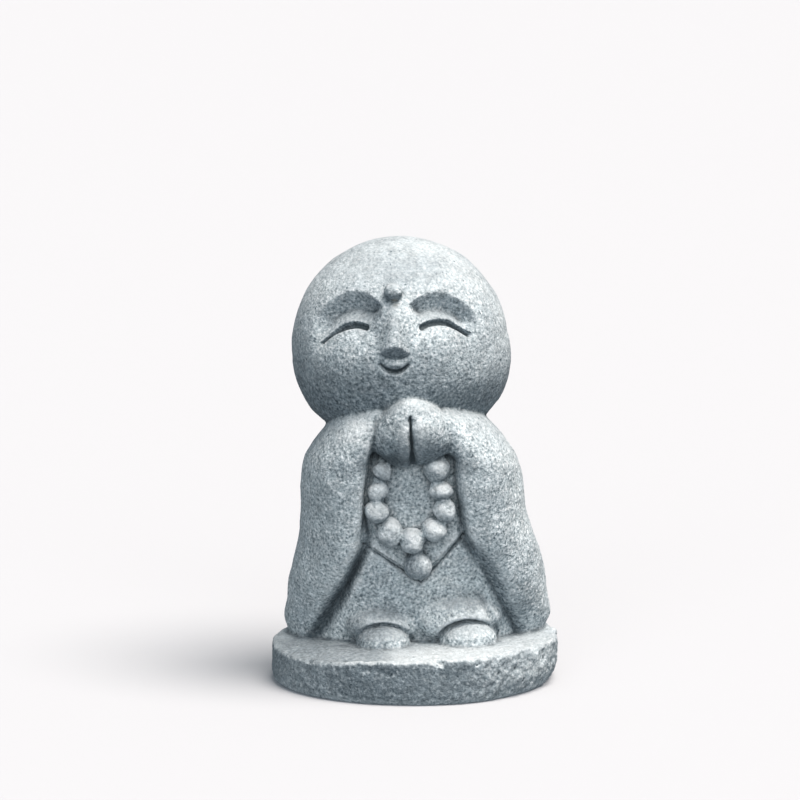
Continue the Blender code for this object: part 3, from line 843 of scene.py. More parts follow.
def base():
    bm = bmesh.new()
    place = Matrix.Translation((0, 0, BASE_THICKNESS / 2 * MM))
    place = place @ Matrix.Diagonal((BASE_HALF[0] * MM, BASE_HALF[1] * MM, 1, 1))
    size = {"radius1": 1, "radius2": 1, "depth": BASE_THICKNESS * MM}
    bmesh.ops.create_cone(bm, cap_ends=True, segments=160, matrix=place, **size)
    for height, bevel in ((BASE_THICKNESS, TOP_BEVEL), (0, FOOT_BEVEL)):
        rim = [e for e in bm.edges if all(abs(v.co.z - height * MM) < 1e-6 for v in e.verts)]
        bmesh.ops.bevel(bm, geom=rim, offset=bevel * MM, segments=4, profile=0.5, affect="EDGES")
    return clay("base", bm)


statue = fused("jizo_stone", [*figure_masses, base()], SKIN_GRAIN, SKIN_SOFTENING)
print("skin:", len(statue.data.vertices), "points")

# %% [markdown]
# ## Carving
#
# Eyes, mouth, brows and nose are only a millimetre or two deep, so they are carved by moving the
# skin's points in and out, as a chisel does. Points are read into arrays, each one's place on the
# face is worked out in degrees round the head, and a depth is added. A sculpt brush does the same
# by hand, but numbers can be checked and changed.

# %% Tools for carving
def fade(value, start, end):
    """1 before start, 0 after end, and a smooth change between."""
    t = np.clip((value - start) / (end - start), 0, 1)
    return 1 - t * t * (3 - 2 * t)


def grow(value, start, end):
    """0 before start, 1 after end, and a smooth change between."""
    return fade(-value, -end, -start)


def stroke(points, path):
    """For each point: how far it is from a drawn path, and how far along the path, from 0 to 1."""
    path = np.array([tuple(p) for p in path])
    nearest = np.full(len(points), np.inf)
    along = np.zeros(len(points))
    for i, spot in enumerate(path):
        gap = np.linalg.norm(points - spot, axis=1)
        closer = gap < nearest
        nearest[closer] = gap[closer]
        along[closer] = i / (len(path) - 1)
    return nearest, along


def read(mesh, what):
    """The skin's points or its normals as rows of three numbers."""
    numbers = np.empty(len(mesh.vertices) * 3, np.float32)
    mesh.vertices.foreach_get(what, numbers)
    return numbers.reshape(-1, 3).astype(float)


def write(mesh, points):
    mesh.vertices.foreach_set("co", points.astype(np.float32).ravel())
    mesh.update()


def mark_points(mesh, **marks):
    """Leaves marks on the mesh's points, which trees and materials read by name."""
    for name, values in marks.items():
        mark = mesh.attributes.new(name, "FLOAT", "POINT")
        mark.data.foreach_set("value", values.astype(np.float32))


def keep_most(mark, spots, values):
    """Makes a mark at least this strong at the spots."""
    mark[spots] = np.maximum(mark[spots], values)


print("half way along a fade:", fade(0.5, 0, 1))

# %% [markdown]
# ## The face
#
# The brows slant in softly from an upper edge to a crease, and out again over the lids and cheeks.
# The eyes are two arched grooves, the nose is a wedge that stands out most at its tip, and the
# mouth is one short curved groove under a small lip. A face could be pushed about with brushes
# until it smiles. Drawn as lines in degrees, sideways from the face's middle and up from level, it
# can be held against the photograph line by line.

# %% Lines of the face
EYE_GROOVE = (0.85, 0.85)  # width and depth
MOUTH_GROOVE = (0.66, 0.8)
MOUTH_ENDS = (0.6, 0.6)  # how thin the groove is at its ends
BROW_EDGE = ((9, 30.5), (14, 33.4), (20, 35.8), (28, 36.6), (35, 35.3), (41, 32), (46, 28), (52, 22))
BROW_CREASE = (
    *((9, 26.4), (14, 28.3), (20, 29.6), (28, 30.2)),
    *((34, 28.8), (41, 25), (46, 21.2), (52, 15.5)),
)
LEFT_EYE = ((-46.4, 5.6), (-38.5, 12.4), (-31.0, 16.6), (-24.8, 18.0), (-19.5, 17.4), (-17.6, 16.9))
RIGHT_EYE = ((46.6, 11.2), (40.2, 15.8), (35.0, 18.8), (27.1, 20.0), (19.5, 18.9), (15.9, 17.2))
MOUTH = (
    *((-7.6, -3.2), (-5.7, -5.1), (-3.1, -6.5), (-0.2, -7.0)),
    *((2.7, -6.4), (5.3, -4.8), (7.0, -3.2)),
)
EYES = ((LEFT_EYE, (0.4, 0.95)), (RIGHT_EYE, (0.8, 0.95)))  # with how thin their ends are

# Middle, reach and rise of the eyelids, the cheeks and the upper lip
SWELLINGS = (
    ((-27, 21.5), (19, 6), 0.15),
    ((27, 21.5), (19, 6), 0.15),
    ((-27, -6), (28, 28), 0.15),
    ((27, -6), (28, 28), 0.15),
    ((-0.2, -2.6), (7, 4), 0.5),
)


def groove(points, degrees, size, thin_start, thin_end):
    """How deep a groove on the face goes at each point; it may thin out towards its ends."""
    path = [face_point(lon, lat) for lon, lat in smooth_rows(degrees, 16)]
    gap, along = stroke(points, path)
    width, depth = size
    taper = np.interp(along, (0, 0.35, 0.65, 1), (thin_start, 1, 1, thin_end))
    half = width / 2 * MM * taper
    return depth * taper * fade(gap, half * 0.65, half * 1.25)


print("grooves:", EYE_GROOVE, MOUTH_GROOVE)

# %% Brows and nose
# How deep the slant is from the brow's edge at 0 to the crease at 1, and on over lid and cheek
BROW_SLANT = (
    (0, 0.14, 0.8, 1, 1.2, 1.9, 3, 4.6, 6),
    (0, 0.15, 0.93, 1, 0.99, 0.76, 0.38, 0.1, 0),
)
BROW_HOLLOW = 1.8
BROW_ENDS, BROW_NOSE_SIDE = (43, 54), 7  # how far out it fades, and where it begins
BROW_BESIDE_NOSE = ((0.3, 1.6), (12, 19))  # down the slant, and how far out it is at its full depth
BAND_MIDDLE, BAND_FADE = 0.42, (0.3, 0.75)  # the band of painted shade, as shares of the way down the slant
BAND_ENDS, BAND_BEGINS = (41, 54), (9, 19)
NOSE_STAND = 1.4
NOSE_HALF = ((2, 6.5, 15.5, 30), (8.2, 7.6, 6.2, 5.2))  # from its foot up
NOSE_TOP, NOSE_LENGTH = 30, 23.5
NOSE_TIP, NOSE_FOOT = 7.4, -0.7  # where its underside begins and ends, in the middle
NOSE_SIDES = (0.15, 1.15)  # where its sides begin and end, in half widths


def brow_share(lon, lat):
    """How far down the brow's slant a place is: 0 at its upper edge and 1 at the crease."""
    edge = np.interp(abs(lon), *zip(*BROW_EDGE))
    crease = np.interp(abs(lon), *zip(*BROW_CREASE))
    return (edge - lat) / np.maximum(edge - crease, 1.0)


def brow_hollow(lon, lat):
    away, share = abs(lon), brow_share(lon, lat)
    hollow = BROW_HOLLOW * np.interp(share, *BROW_SLANT) * fade(away, *BROW_ENDS)
    return hollow * grow(away, BROW_NOSE_SIDE, np.interp(share, *BROW_BESIDE_NOSE))


def brow_band(lon, lat):
    """1 on the brow's slant, where painted shade lies."""
    away, share = abs(lon), brow_share(lon, lat)
    band = fade(abs(share - BAND_MIDDLE), *BAND_FADE)
    return band * fade(away, *BAND_ENDS) * grow(away, *BAND_BEGINS)


def nose_rise(lon, lat):
    """A wedge that widens and stands out more towards its tip, with a slanting underside."""
    away = abs(lon)
    down = np.clip((NOSE_TOP - lat) / NOSE_LENGTH, 0, 1)
    tip, foot_line = NOSE_TIP - 0.5 * away, NOSE_FOOT + 0.4 * away
    underside = np.clip((lat - foot_line) / np.maximum(tip - foot_line, 0.8), 0, 1)
    sides = fade(away / np.interp(lat, *NOSE_HALF), *NOSE_SIDES)
    return NOSE_STAND * down**0.8 * sides * underside


print("nose:", NOSE_STAND, "mm at its tip; brows:", BROW_HOLLOW, "mm deep")

# %% Carve the face
FACE_SKIN = 1.2  # skin this close to the head's ball belongs to the face
BROW_SHADE, BROW_LESS_SHADE = 0.45, 1.6  # the painted shade on the slant, and how much that share lessens the other painted shade there


def degrees_of(ways):
    """Ways from the head's middle at length one, and their degrees round the face and up."""
    unit = ways / np.linalg.norm(ways, axis=1)[:, None]
    lon = np.degrees(np.arctan2(unit[:, 0], -unit[:, 1])) - FACE_TURN
    return unit, lon, np.degrees(np.arcsin(np.clip(unit[:, 2], -1, 1)))


def carve_face(ways):
    """How far the skin moves out along each way from the head's middle, in millimetres."""
    unit, lon, lat = degrees_of(ways)
    on_ball = unit * HEAD_RADIUS * MM + np.array(at(*HEAD_MIDDLE))
    out = nose_rise(lon, lat) - brow_hollow(lon, lat)
    for middle, reach, rise in SWELLINGS:
        far = np.hypot((lon - middle[0]) / reach[0], (lat - middle[1]) / reach[1])
        out += rise * fade(far, 0, 1)
    for eye, ends in EYES:
        out -= groove(on_ball, eye, EYE_GROOVE, *ends)
    return out - groove(on_ball, MOUTH, MOUTH_GROOVE, *MOUTH_ENDS)


points = read(statue.data, "co")
normals = read(statue.data, "normal")
ways = points - np.array(at(*HEAD_MIDDLE))
length = np.linalg.norm(ways, axis=1) / MM
on_face = (abs(length - HEAD_RADIUS) < FACE_SKIN) & (ways[:, 1] < 0) & (normals[:, 1] < 0)
face = np.flatnonzero(on_face & (ways[:, 2] > -0.5 * HEAD_RADIUS * MM))
moves = carve_face(ways[face])
hollow_shade = np.zeros(len(points))  # painted shade in hollows and grooves
hollow_shade[face] = BROW_SHADE * brow_band(*degrees_of(ways[face])[1:])
less_shade = np.zeros(len(points))  # where less painted shade goes into the dips, and on the face under things
less_shade[face] = BROW_LESS_SHADE * hollow_shade[face]
points[face] += ways[face] / length[face, None] * moves[:, None]
print("face:", len(face), "points,", round(moves.min(), 2), "to", round(moves.max(), 2), "mm out")

# %% [markdown]
# ## Grooves round the toes
#
# The hem lifts in an arch over each foot, and a fine groove, painted dark with shade, parts the toes
# from it. A thin ring could be cut out with another boolean, but here too the skin's points are
# moved back. How far each one is from the arch is then known, and the same distance says where the
# painted shade goes.

# %% Groove the hem's arches
ARCH_GROOVE = (0.2, 0.42, 0.22)  # how far it lies off the foot's outline, its half width and depth
# Painted shade in the groove round the arch, and how much the painted shade of dips is lessened
# round it
ARCH_SHADE, ARCH_LESS_SHADE = 0.6, 0.55
ARCH_ROOM = 1.5  # skin that is further from the foot than this stays as it is

heights = points[:, 2] / MM - BASE_THICKNESS
flat = np.stack([points[:, 0] / MM, heights], axis=1)  # the front as a drawing
darkest = np.zeros(len(points))  # where painted shade is nearly black
for x, _, half, rise in FEET:
    off, wide, depth = ARCH_GROOVE
    angles = np.linspace(0.05, math.pi - 0.05, 120)
    path = np.stack([x + (half + off) * np.cos(angles), (rise + off) * np.sin(angles)], axis=1)
    outside = ((flat[:, 0] - x) / (half + 0.05)) ** 2 + (heights / (rise + 0.05)) ** 2 > 1
    hem = outside & (abs(flat[:, 0] - x) < half + ARCH_ROOM) & (points[:, 1] < -3 * MM)
    hem = np.flatnonzero(hem & (heights > 0.2) & (heights < rise + ARCH_ROOM))
    gap, _ = stroke(flat[hem], path)
    points[hem, 1] += depth * fade(gap, 0.3 * wide, wide) * MM
    keep_most(hollow_shade, hem, ARCH_SHADE * fade(gap, 0.4 * wide, 1.5 * wide))
    keep_most(less_shade, hem, ARCH_LESS_SHADE * fade(gap, 0.8, 1.6))
    print("arch at", x, "mm grooved", int((gap < wide).sum()), "points")

# %% [markdown]
# ## Creases along the sleeves
#
# Each sleeve hangs clear of the robe, so a dark crease follows its inner edge, fine beside the
# hands and the beads and broad lower down. It is crisp on the robe's side, and on its own side the
# sleeve's edge rolls under softly, which a boolean's clean cut would not give.

# %% Cut the sleeves' creases
# Sideways place, height, width on the robe's side and on the sleeve's, and depth, from the top down
CREASES = {
    -1: (
        (-4.45, 28.2, 0.4, 0.4, 0.12),
        (-4.75, 26.2, 0.45, 0.4, 0.4),
        (-5.2, 22.6, 0.45, 0.45, 0.7),
        (-5.6, 19.8, 0.45, 0.5, 0.6),
        (-6.0, 17.8, 0.45, 0.5, 0.5),
        (-5.85, 15.6, 0.45, 0.6, 0.5),
        (-5.5, 12.6, 0.8, 1.1, 0.7),
        (-6.5, 10.2, 0.9, 1.6, 1.0),
        (-7.85, 7.2, 1.0, 1.9, 1.3),
        (-9.3, 4.4, 1.0, 1.9, 1.2),
        (-10.9, 1.6, 0.9, 1.9, 0.9),
        (-12.3, -0.4, 0.9, 1.7, 0.6),
    ),
    1: (
        (4.5, 22.8, 0.4, 0.7, 0.2),
        (4.75, 20.2, 0.5, 1.1, 0.4),
        (5.1, 17.9, 0.5, 1.2, 0.5),
        (5.3, 15.6, 0.5, 1.3, 0.5),
        (5.7, 12.8, 0.75, 1.4, 0.7),
        (6.9, 11.2, 0.75, 1.7, 0.9),
        (8.5, 8.2, 0.75, 2.1, 1.3),
        (10.0, 5.0, 0.75, 2.1, 1.3),
        (11.5, 1.8, 0.75, 2.1, 0.9),
        (12.2, -0.3, 0.75, 1.8, 0.6),
    ),
}
CREASE_HEIGHTS = (0.1, 28.2)
CREASE_STEEP = (1.8, 1.2)  # how its side falls: the sleeve's, which rolls under, and the robe's
WIDE_CREASE = 1.7  # this wide on the sleeve's side, a crease gets all its painted shade
# How far out the painted shade goes on the sleeve's side, how strong it is, and how much is painted
# nearly black
CREASE_SHADE = {-1: (0.85, 1.0, 0.55), 1: (1.05, 0.85, 0.0)}

for side, table in CREASES.items():
    rows = np.array(smooth_rows([(i, *row) for i, row in enumerate(table)], 20))[:, 1:]
    near = (heights > CREASE_HEIGHTS[0]) & (heights < CREASE_HEIGHTS[1])
    near = np.flatnonzero(near & (points[:, 1] < -1 * MM) & (points[:, 0] * side > 3 * MM))
    gap, along = stroke(flat[near], rows[:, :2])
    spot = along * (len(rows) - 1)
    x, robe_side, sleeve_side, depth = (
        np.interp(spot, range(len(rows)), rows[:, k]) for k in (0, 2, 3, 4)
    )
    reach = np.where((flat[near, 0] - x) * side > 0, sleeve_side, robe_side)
    rolled = reach == sleeve_side
    steep = np.where(rolled, *CREASE_STEEP)
    points[near, 1] += depth * np.clip(1 - gap / reach, 0, 1) ** steep * MM
    wash_reach, shade_strength, black = CREASE_SHADE[side]
    band = fade(gap, 0.25 * reach, reach * np.where(rolled, wash_reach, 1.05))
    band *= np.clip(sleeve_side / WIDE_CREASE, 0.3, 1)
    keep_most(hollow_shade, near, shade_strength * band)
    keep_most(darkest, near, band**2 * black * (sleeve_side > 1.0))
    print("crease", side, "moved", int((gap < reach).sum()), "points")

# %% [markdown]
# ## Fold, slit and V groove
#
# The fold over the right foot ends in a fine edge. A saw cut parts the two palms, wider at the heel
# of the hands, and each palm falls away a little beside it. A line is cut along the V where the
# upper garment ends, so that its thin step reads as an edge. The three are cut as the creases are,
# by their distance from a drawn line.

# %% Cut the fold's edge
FOLD_EDGE = ((6.6, 6.7), (7.6, 5.8), (8.6, 4.2), (9.3, 2.8), (9.9, 1.2))
FOLD_GROOVE = (0.55, 0.3)  # half width and depth
FOLD_TAPER = ((0, 0.35, 0.85, 1), (0, 1, 1, 0.3))
# Painted shade along the fold's groove
FOLD_SHADE = 0.3

near = (points[:, 1] < -4 * MM) & (points[:, 0] > 5 * MM) & (heights > 0.3) & (heights < 8)
near = np.flatnonzero(near)
gap, along = stroke(flat[near], smooth_rows(FOLD_EDGE, 16))
cut = fade(gap, 0.1, FOLD_GROOVE[0]) * np.interp(along, *FOLD_TAPER)
points[near, 1] += FOLD_GROOVE[1] * cut * MM
keep_most(hollow_shade, near, FOLD_SHADE * cut)
print("fold's edge:", int((cut > 0.1).sum()), "points")

# %% Cut the slit and the V groove
SLIT = (0.92, 1.25)  # width at the heel of the hands, and depth
SLIT_TOP = 0.2  # its width at the finger tips, as a share
PALM_ROUND = (1.1, 0.35)  # how far and how much each palm falls away beside the slit
V_GROOVE = (0.52, 0.5)  # width and depth
V_DROP = 0.15  # how far below the garment's edge it runs

low, high = SLIT_LINE[0]
off_middle = points[:, 0] / MM - np.interp(heights, *SLIT_LINE)
on_hands = (points[:, 1] < -9 * MM) & (heights > low - 1.3) & (heights < high + 0.7)
half = SLIT[0] / 2 * np.interp(heights, (low, high), (1, SLIT_TOP))
fall = PALM_ROUND[1] * fade(abs(off_middle), 0, PALM_ROUND[0])
slit = SLIT[1] * fade(abs(off_middle), half * 0.4, half * 1.5) + fall
points[:, 1] += np.where(on_hands, slit * fade(heights, high - 1, high) * MM, 0)

left, tip, right = ((x, z - V_DROP) for x, z in PANEL_EDGE)
line = [*np.linspace(left, tip, 90), *np.linspace(tip, right, 90)]
depth = points[:, 1] / MM - chest_front(heights)
near = np.flatnonzero((abs(depth) < 0.9) & (heights > tip[1] - 2) & (heights < right[1] + 2))
gap, _ = stroke(flat[near], line)
cut = V_GROOVE[1] * fade(gap, V_GROOVE[0] * 0.25, V_GROOVE[0] * 0.75)
points[near, 1] += cut * MM
write(statue.data, points)
print("V groove:", int((cut > 0.1).sum()), "points")

# %% [markdown]
# ## Wear of the base
#
# The base is not true: its top rises a little to the right, the front rim is chipped and rounded
# away at the left, and the lower right edge is rubbed off. Chips could be cut out one by one. Here
# the points near the rim are moved by smooth noise that only depends on where they are, so the
# chips stay where they are when something else changes.

# %% Wear the base
TOP_SLOPE = math.tan(math.radians(1.2))
LEFT_RIM_LOSS, RIGHT_FOOT_LOSS = 0.55, 0.7
RIM_FROM = (0.86, 2.2)  # how far out, as a share, and how high up the rim's chips begin
SMALL_CHIP, CHIP, BITE = (0.7, 5), (1.5, 3), (3.0, 11)  # size and seed
CHIP_IN, CHIP_DOWN = 0.45, 0.65


def bumps(points, size, seed):
    """Smooth noise from about -1 to 1 with bumps of a size in millimetres."""
    shift = Vector((seed, seed * 2, seed * 3))
    scale = 1 / (size * MM)
    return np.array([noise.noise(Vector(p) * scale + shift) for p in points])


points = read(statue.data, "co")
spread = np.hypot(points[:, 0] / BASE_HALF[0], points[:, 1] / BASE_HALF[1]) / MM
heights = points[:, 2] / MM
on_top = np.interp(heights, (1.0, BASE_THICKNESS, BASE_THICKNESS + 3), (0, 1, 0))
points[:, 2] += points[:, 0] * TOP_SLOPE * on_top

# Rubbed off: the rim at the front left, and the foot of the wall at the front right
across, back = points[:, 0] / MM, points[:, 1] / MM
left_front = fade(across, -11, -6) * fade(back, -8, 2)
points[:, 2] -= LEFT_RIM_LOSS * MM * left_front * on_top * grow(spread, 0.70, 0.98)
right_front = grow(across, 6, 13) * fade(back, -3, 6)
worn_foot = right_front * fade(heights, 0.3, 2.4) * grow(spread, 0.7, 0.9)
points[:, :2] *= 1 - (RIGHT_FOOT_LOSS / BASE_HALF[0] * worn_foot)[:, None]

out, up = RIM_FROM
rim = np.flatnonzero((spread > out) & (heights > up) & (heights < BASE_THICKNESS + 0.3))
place = points[rim]
to_front = np.clip(-place[:, 1] / (12 * MM), 0.25, 1)  # the back has a quarter of the chips' depth
chips = np.clip(bumps(place, *CHIP) + 0.4 * bumps(place, *SMALL_CHIP) - 0.12, 0, 1)
chips += 0.7 * np.clip(bumps(place, *BITE) + 0.1, 0, 1)
near_edge = np.interp(heights[rim], (up, 4.6, 5.4), (0, 1, 1))
near_edge *= np.interp(spread[rim], (out, 0.95), (0, 1))
near_top = near_edge * np.interp(heights[rim], (3.6, 4.9), (0, 1))
points[rim, :2] *= 1 - (CHIP_IN * chips * near_edge * to_front / BASE_HALF[0])[:, None]
points[rim, 2] -= CHIP_DOWN * chips * near_top * to_front * MM
write(statue.data, points)
deepest = float((chips * near_top).max() * CHIP_DOWN)
print("rim:", len(rim), "points, chipped by up to", round(deepest, 2), "mm")

# %% [markdown]
# ## How rough each place is
#
# Paste pressed into a rubber mould comes out smooth where it was pressed hard, as on the face, and
# coarse where it was filled in last, on the base's wall. Roughness could be painted by hand. Here
# one mark says how rough and pitted the skin is at each point and another how uneven it is, and the
# tree that weathers the statue reads both.

# %% Mark how rough each place is
TOP_ROUGH, SKIN_ROUGH, FACE_ROUGH, SLEEVE_ROUGH = 0.4, 0.18, 0.12, 0.45
WALL_ROUGH = 0.45  # at the left; it grows by one towards the right
FACE_LUMPY, HEAD_LUMPY = 0.25, 0.4
HEAD_FROM = (BASE_THICKNESS + 27, BASE_THICKNESS + 31)

across, back = points[:, 0] / MM, points[:, 1] / MM
wall = np.interp(spread, (0.90, 0.97), (0, 1)) * np.interp(heights, (0.1, 1.0), (0, 1))
wall *= np.interp(heights, (BASE_THICKNESS, BASE_THICKNESS + 1.0), (1, 0))
top = (heights < BASE_THICKNESS + 0.6) & (heights > 4) & (spread < 0.97)
pitted_wall = wall * (WALL_ROUGH + grow(across, 0, 11))
lumpy_sleeve = SLEEVE_ROUGH * grow(across, 9, 13) * fade(heights, 15, 20)
rough = np.max([np.where(top, TOP_ROUGH, SKIN_ROUGH), pitted_wall, lumpy_sleeve], axis=0)
rough[face] = FACE_ROUGH
lumpy = 1 - fade(heights, BASE_THICKNESS + 1, BASE_THICKNESS + 4)
lumpy *= np.interp(heights, HEAD_FROM, (1, HEAD_LUMPY))
lumpy[face] = FACE_LUMPY
mark_points(statue.data, rough=rough, lumpy=lumpy)
print("roughest:", round(float(rough.max()), 2), "and on average", round(float(rough.mean()), 2))

# %% [markdown]
# ## Painted shade
#
# Shade is painted into the stone's colour as a darker tint. It lies on what faces down, on the
# base's wall, in the creases, as painted shadow on the base's top and the left toes, and in patches
# of painted shade. It could be painted on an image, but a mark on the mesh's points needs no
# unwrapping. Each patch is soft, at a measured place, and of all that lies on a point the strongest
# counts.

# %% Patches of painted shade
# Sideways place and height on the figure, half width, half height and strength
SHADE_PATCHES = (
    (-1.7, 45.0, 9.0, 3.0, 0.2),  # the forehead
    (4.6, 34.0, 8.0, 4.8, 0.6),  # the right cheek
    (-2.2, 38.5, 2.0, 3.8, 0.4),  # the nose
    (-4.3, 39.3, 1.4, 3.4, 0.7),  # its left side
    (-6.2, 39.7, 3.8, 1.5, 0.45),  # the left lid
    (-10.2, 38.9, 1.6, 2.4, 0.5),  # the left brow's outer end
    (2.6, 39.8, 4.0, 1.5, 0.35),  # the right lid
    (-3.0, 42.0, 1.5, 1.5, 0.55),  # the mark between the brows
    (-2.4, 27.6, 2.3, 3.6, 0.55),  # the left palm
    (-10.5, 15.0, 3.0, 8.0, 0.25),  # the left sleeve
    (-4.4, 16.8, 1.6, 1.6, 0.4),  # the third bead
    (-0.9, 13.1, 1.6, 1.6, 0.2),  # the fifth bead
    (4.5, 5.2, 6.0, 2.6, 0.4),  # the right fold
    (-3.8, 3.8, 3.8, 1.8, 0.4),  # the left fold
    (12.6, 4.2, 3.2, 4.0, 0.6),  # the right sleeve's end
)
JAW_SHADE = (5.2, 30.0, 6.5, 3.2, 0.2)  # two places where some of it is nearly black
PALM_SHADE = (-2.5, 22.9, 2.8, 1.2, 0.6)
PENDANT_SHADE = ((0.8, 0.6), (-0.1, 1.4), 0.85)  # which way it lies, its bounds and strength
PENDANT_REACH = 2.2

normals = read(statue.data, "normal")
facing = normals[:, 2]  # 1 where the skin faces up and -1 where it faces down
figure = np.stack([across, heights - BASE_THICKNESS], axis=1)
in_front = back < 0


def patch(x, z, wide, high, much):
    """A soft oval patch on the front, at most this much."""
    far = np.hypot((figure[:, 0] - x) / wide, (figure[:, 1] - z) / high)
    return much * fade(far, 0.2, 1) * in_front


patched_shade = np.max([patch(*spot) for spot in SHADE_PATCHES], axis=0)
way, ends, much = PENDANT_SHADE
on_pendant = back < chest_front(PENDANT[1]) - PANEL_STEP - 0.6
on_pendant &= np.linalg.norm(figure - PENDANT, axis=1) < PENDANT_REACH
patched_shade[on_pendant] = much * fade((figure[on_pendant] - PENDANT) @ way, *ends)
print("in patches of shade:", int((patched_shade > 0.1).sum()), "points")

# %% Painted shade under, on and between the forms
# Skin facing lower than the first of these gets all its painted shade, and higher than the second
# none
FACING_UNDER = (-0.5, 0.38)
WALL_SHADE = ((-16, -11, -7, 5, 9, 14), (0.7, 0.75, 1.1, 1.1, 0.6, 0.35))  # painted shade on the base's wall, from left to right
UNDER_BEADS, BENEATH_BEADS = 0.7, 0.65  # painted shade on the beads' lower sides, and painted shadow on the robe below them
# Painted shadow of the figure on the base's top at the left front, and on the left toes
LEFT_TOP, LEFT_TOES = 0.75, 0.7
# How much less the grit's painted shade stands out beside the eyes, on the wall and at its left
TEMPLES_EVEN_GRIT, WALL_EVEN_GRIT, LEFT_EVEN_GRIT = 0.6, 0.4, 0.25


def on_chest(half_width, low, high):
    """The points of the figure's middle between two heights."""
    return (abs(figure[:, 0]) < half_width) & (figure[:, 1] > low) & (figure[:, 1] < high)


# Painted shade on what faces down, on the head and hands
under = fade(facing, *FACING_UNDER) * grow(heights, 25, 28)
under[face] *= 1 - less_shade[face]
wall_wash = wall * fade(facing, 0.1, 0.9) * np.interp(across, *WALL_SHADE)
left_toes = fade(across, -4.5, -1.5) * fade(back, -6, -4) * (heights > BASE_THICKNESS)
toes = LEFT_TOES * left_toes * fade(heights, BASE_THICKNESS + 2, BASE_THICKNESS + 4)
left_top = LEFT_TOP * left_front * on_top * (facing > 0.3)

# Painted shade on the beads' lower sides, and painted shadow on the robe below them and under the
# palm
proud = chest_front(figure[:, 1]) - back  # how far a point stands out from the trunk
on_beads = on_chest(6, 8, 23) & (proud > PANEL_STEP + 0.4)
under_beads = UNDER_BEADS * fade(facing, -0.75, 0.1) * on_beads
by_beads = on_chest(7, 7, 22.5) & (proud > 0.1)
beneath = BENEATH_BEADS * by_beads * fade(facing, -0.75, -0.15)
beneath *= fade(proud, PANEL_STEP + 0.7, PANEL_STEP + 1.5)
palm = patch(*PALM_SHADE) * fade(facing, -0.6, 0.2)
darkest = np.max([darkest, patch(*JAW_SHADE), beneath, palm], axis=0)
# Painted shade: the strongest of all that lies on each point
wash = np.max([under, wall_wash, hollow_shade, left_top, toes, patched_shade, under_beads], axis=0)

# Painted shade brings out the grit where the skin is steep, less on the wall and beside the eyes
temples = grow(abs(figure[:, 0] - HEAD_MIDDLE[0]), 7.5, 11.5) * grow(figure[:, 1], 28, 33)
grime = fade(facing, 0.3, 0.8) * (1 - WALL_EVEN_GRIT * wall) * (1 - TEMPLES_EVEN_GRIT * temples)
grime *= 1 - LEFT_EVEN_GRIT * wall * fade(across, -11, -6)
mark_points(statue.data, wash=wash, grime=grime)
print("washed:", int((wash > 0.3).sum()), "points of", len(points))

# %% [markdown]
# ## Weathering, by Geometry Nodes
#
# A cast from a rubber mould is never quite smooth: its skin swells and dips by a few hundredths of
# a millimetre, broader swells show where the soft mould gave way, and air leaves pits where the
# paste was stiff, mostly on the base's wall. Each could be sculpted, but the rule is the same
# everywhere and only its strength changes, so a tree does it. One mark scales the fine swells and
# the pits, and the other the broad swells.

# %% The tree that weathers the skin
PIT_SPREAD = 2.2  # the larger, the less of each pit's cell is hollow


def weathering_tree():
    tree = bpy.data.node_groups.new("weathering", "GeometryNodeTree")
    sizes = ("Swell size", "Swell depth", "Pit size", "Pit depth", "Broad size", "Broad depth")
    sockets = {"Skin": "Geometry", **dict.fromkeys(sizes, "Float")}
    given, end = inputs_and_outputs(tree, {**sockets, "Seed": "Int", "Stone": "Material"})
    rough, lumpy = (
        add(tree, "GeometryNodeInputNamedAttribute", {"Name": name}, data_type="FLOAT")
        for name in ("rough", "lumpy")
    )
    swell = swells(tree, given["Swell size"], given["Swell depth"], given["Seed"])
    scale = add(tree, "ShaderNodeMath", (1.0, given["Pit size"]), operation="DIVIDE")
    cells = {"Scale": scale, "W": given["Seed"]}
    far = add(tree, "ShaderNodeTexVoronoi", cells, voronoi_dimensions="4D")
    far = add(tree, "ShaderNodeMath", (far, PIT_SPREAD), operation="MULTIPLY")
    pit = add(tree, "ShaderNodeMath", (1.0, far), operation="SUBTRACT")
    pit = add(tree, "ShaderNodeMath", (pit, 0.0), operation="MAXIMUM")
    pit = add(tree, "ShaderNodeMath", (pit, given["Pit depth"]), operation="MULTIPLY")
    fine = add(tree, "ShaderNodeMath", (swell, pit), operation="SUBTRACT")
    fine = add(tree, "ShaderNodeMath", (fine, rough.outputs["Attribute"]), operation="MULTIPLY")
    broad = swells(tree, given["Broad size"], given["Broad depth"], given["Seed"])
    broad = add(tree, "ShaderNodeMath", (broad, lumpy.outputs["Attribute"]), operation="MULTIPLY")
    rise = add(tree, "ShaderNodeMath", (fine, broad), operation="ADD")
    push_and_end(tree, end, given["Skin"], rise, given["Stone"])
    return tree


statue = with_tree(
    statue,
    weathering_tree(),
    swell_size=1.3 * MM,
    swell_depth=0.7 * MM,
    pit_size=0.8 * MM,
    pit_depth=0.25 * MM,
    broad_size=4.5 * MM,
    broad_depth=0.9 * MM,
    seed=7,
    stone=STONE,
)
print("weathered skin:", len(statue.data.polygons), "faces")

# %% [markdown]
# ## Painted shade in crevices, painted light on bulges, and earth
#
# Shade is painted darker where the skin dips, and light is painted where it bulges. Smoothing a
# copy of the skin and measuring how far each point lies under it finds both, on a fine scale for
# grooves and on a broad one for corners. Cycles has an ambient occlusion node, but a mark on the
# mesh survives the export.

# %% Measure the dips and bulges
FINE_PASSES, BROAD_PASSES = 8, 40


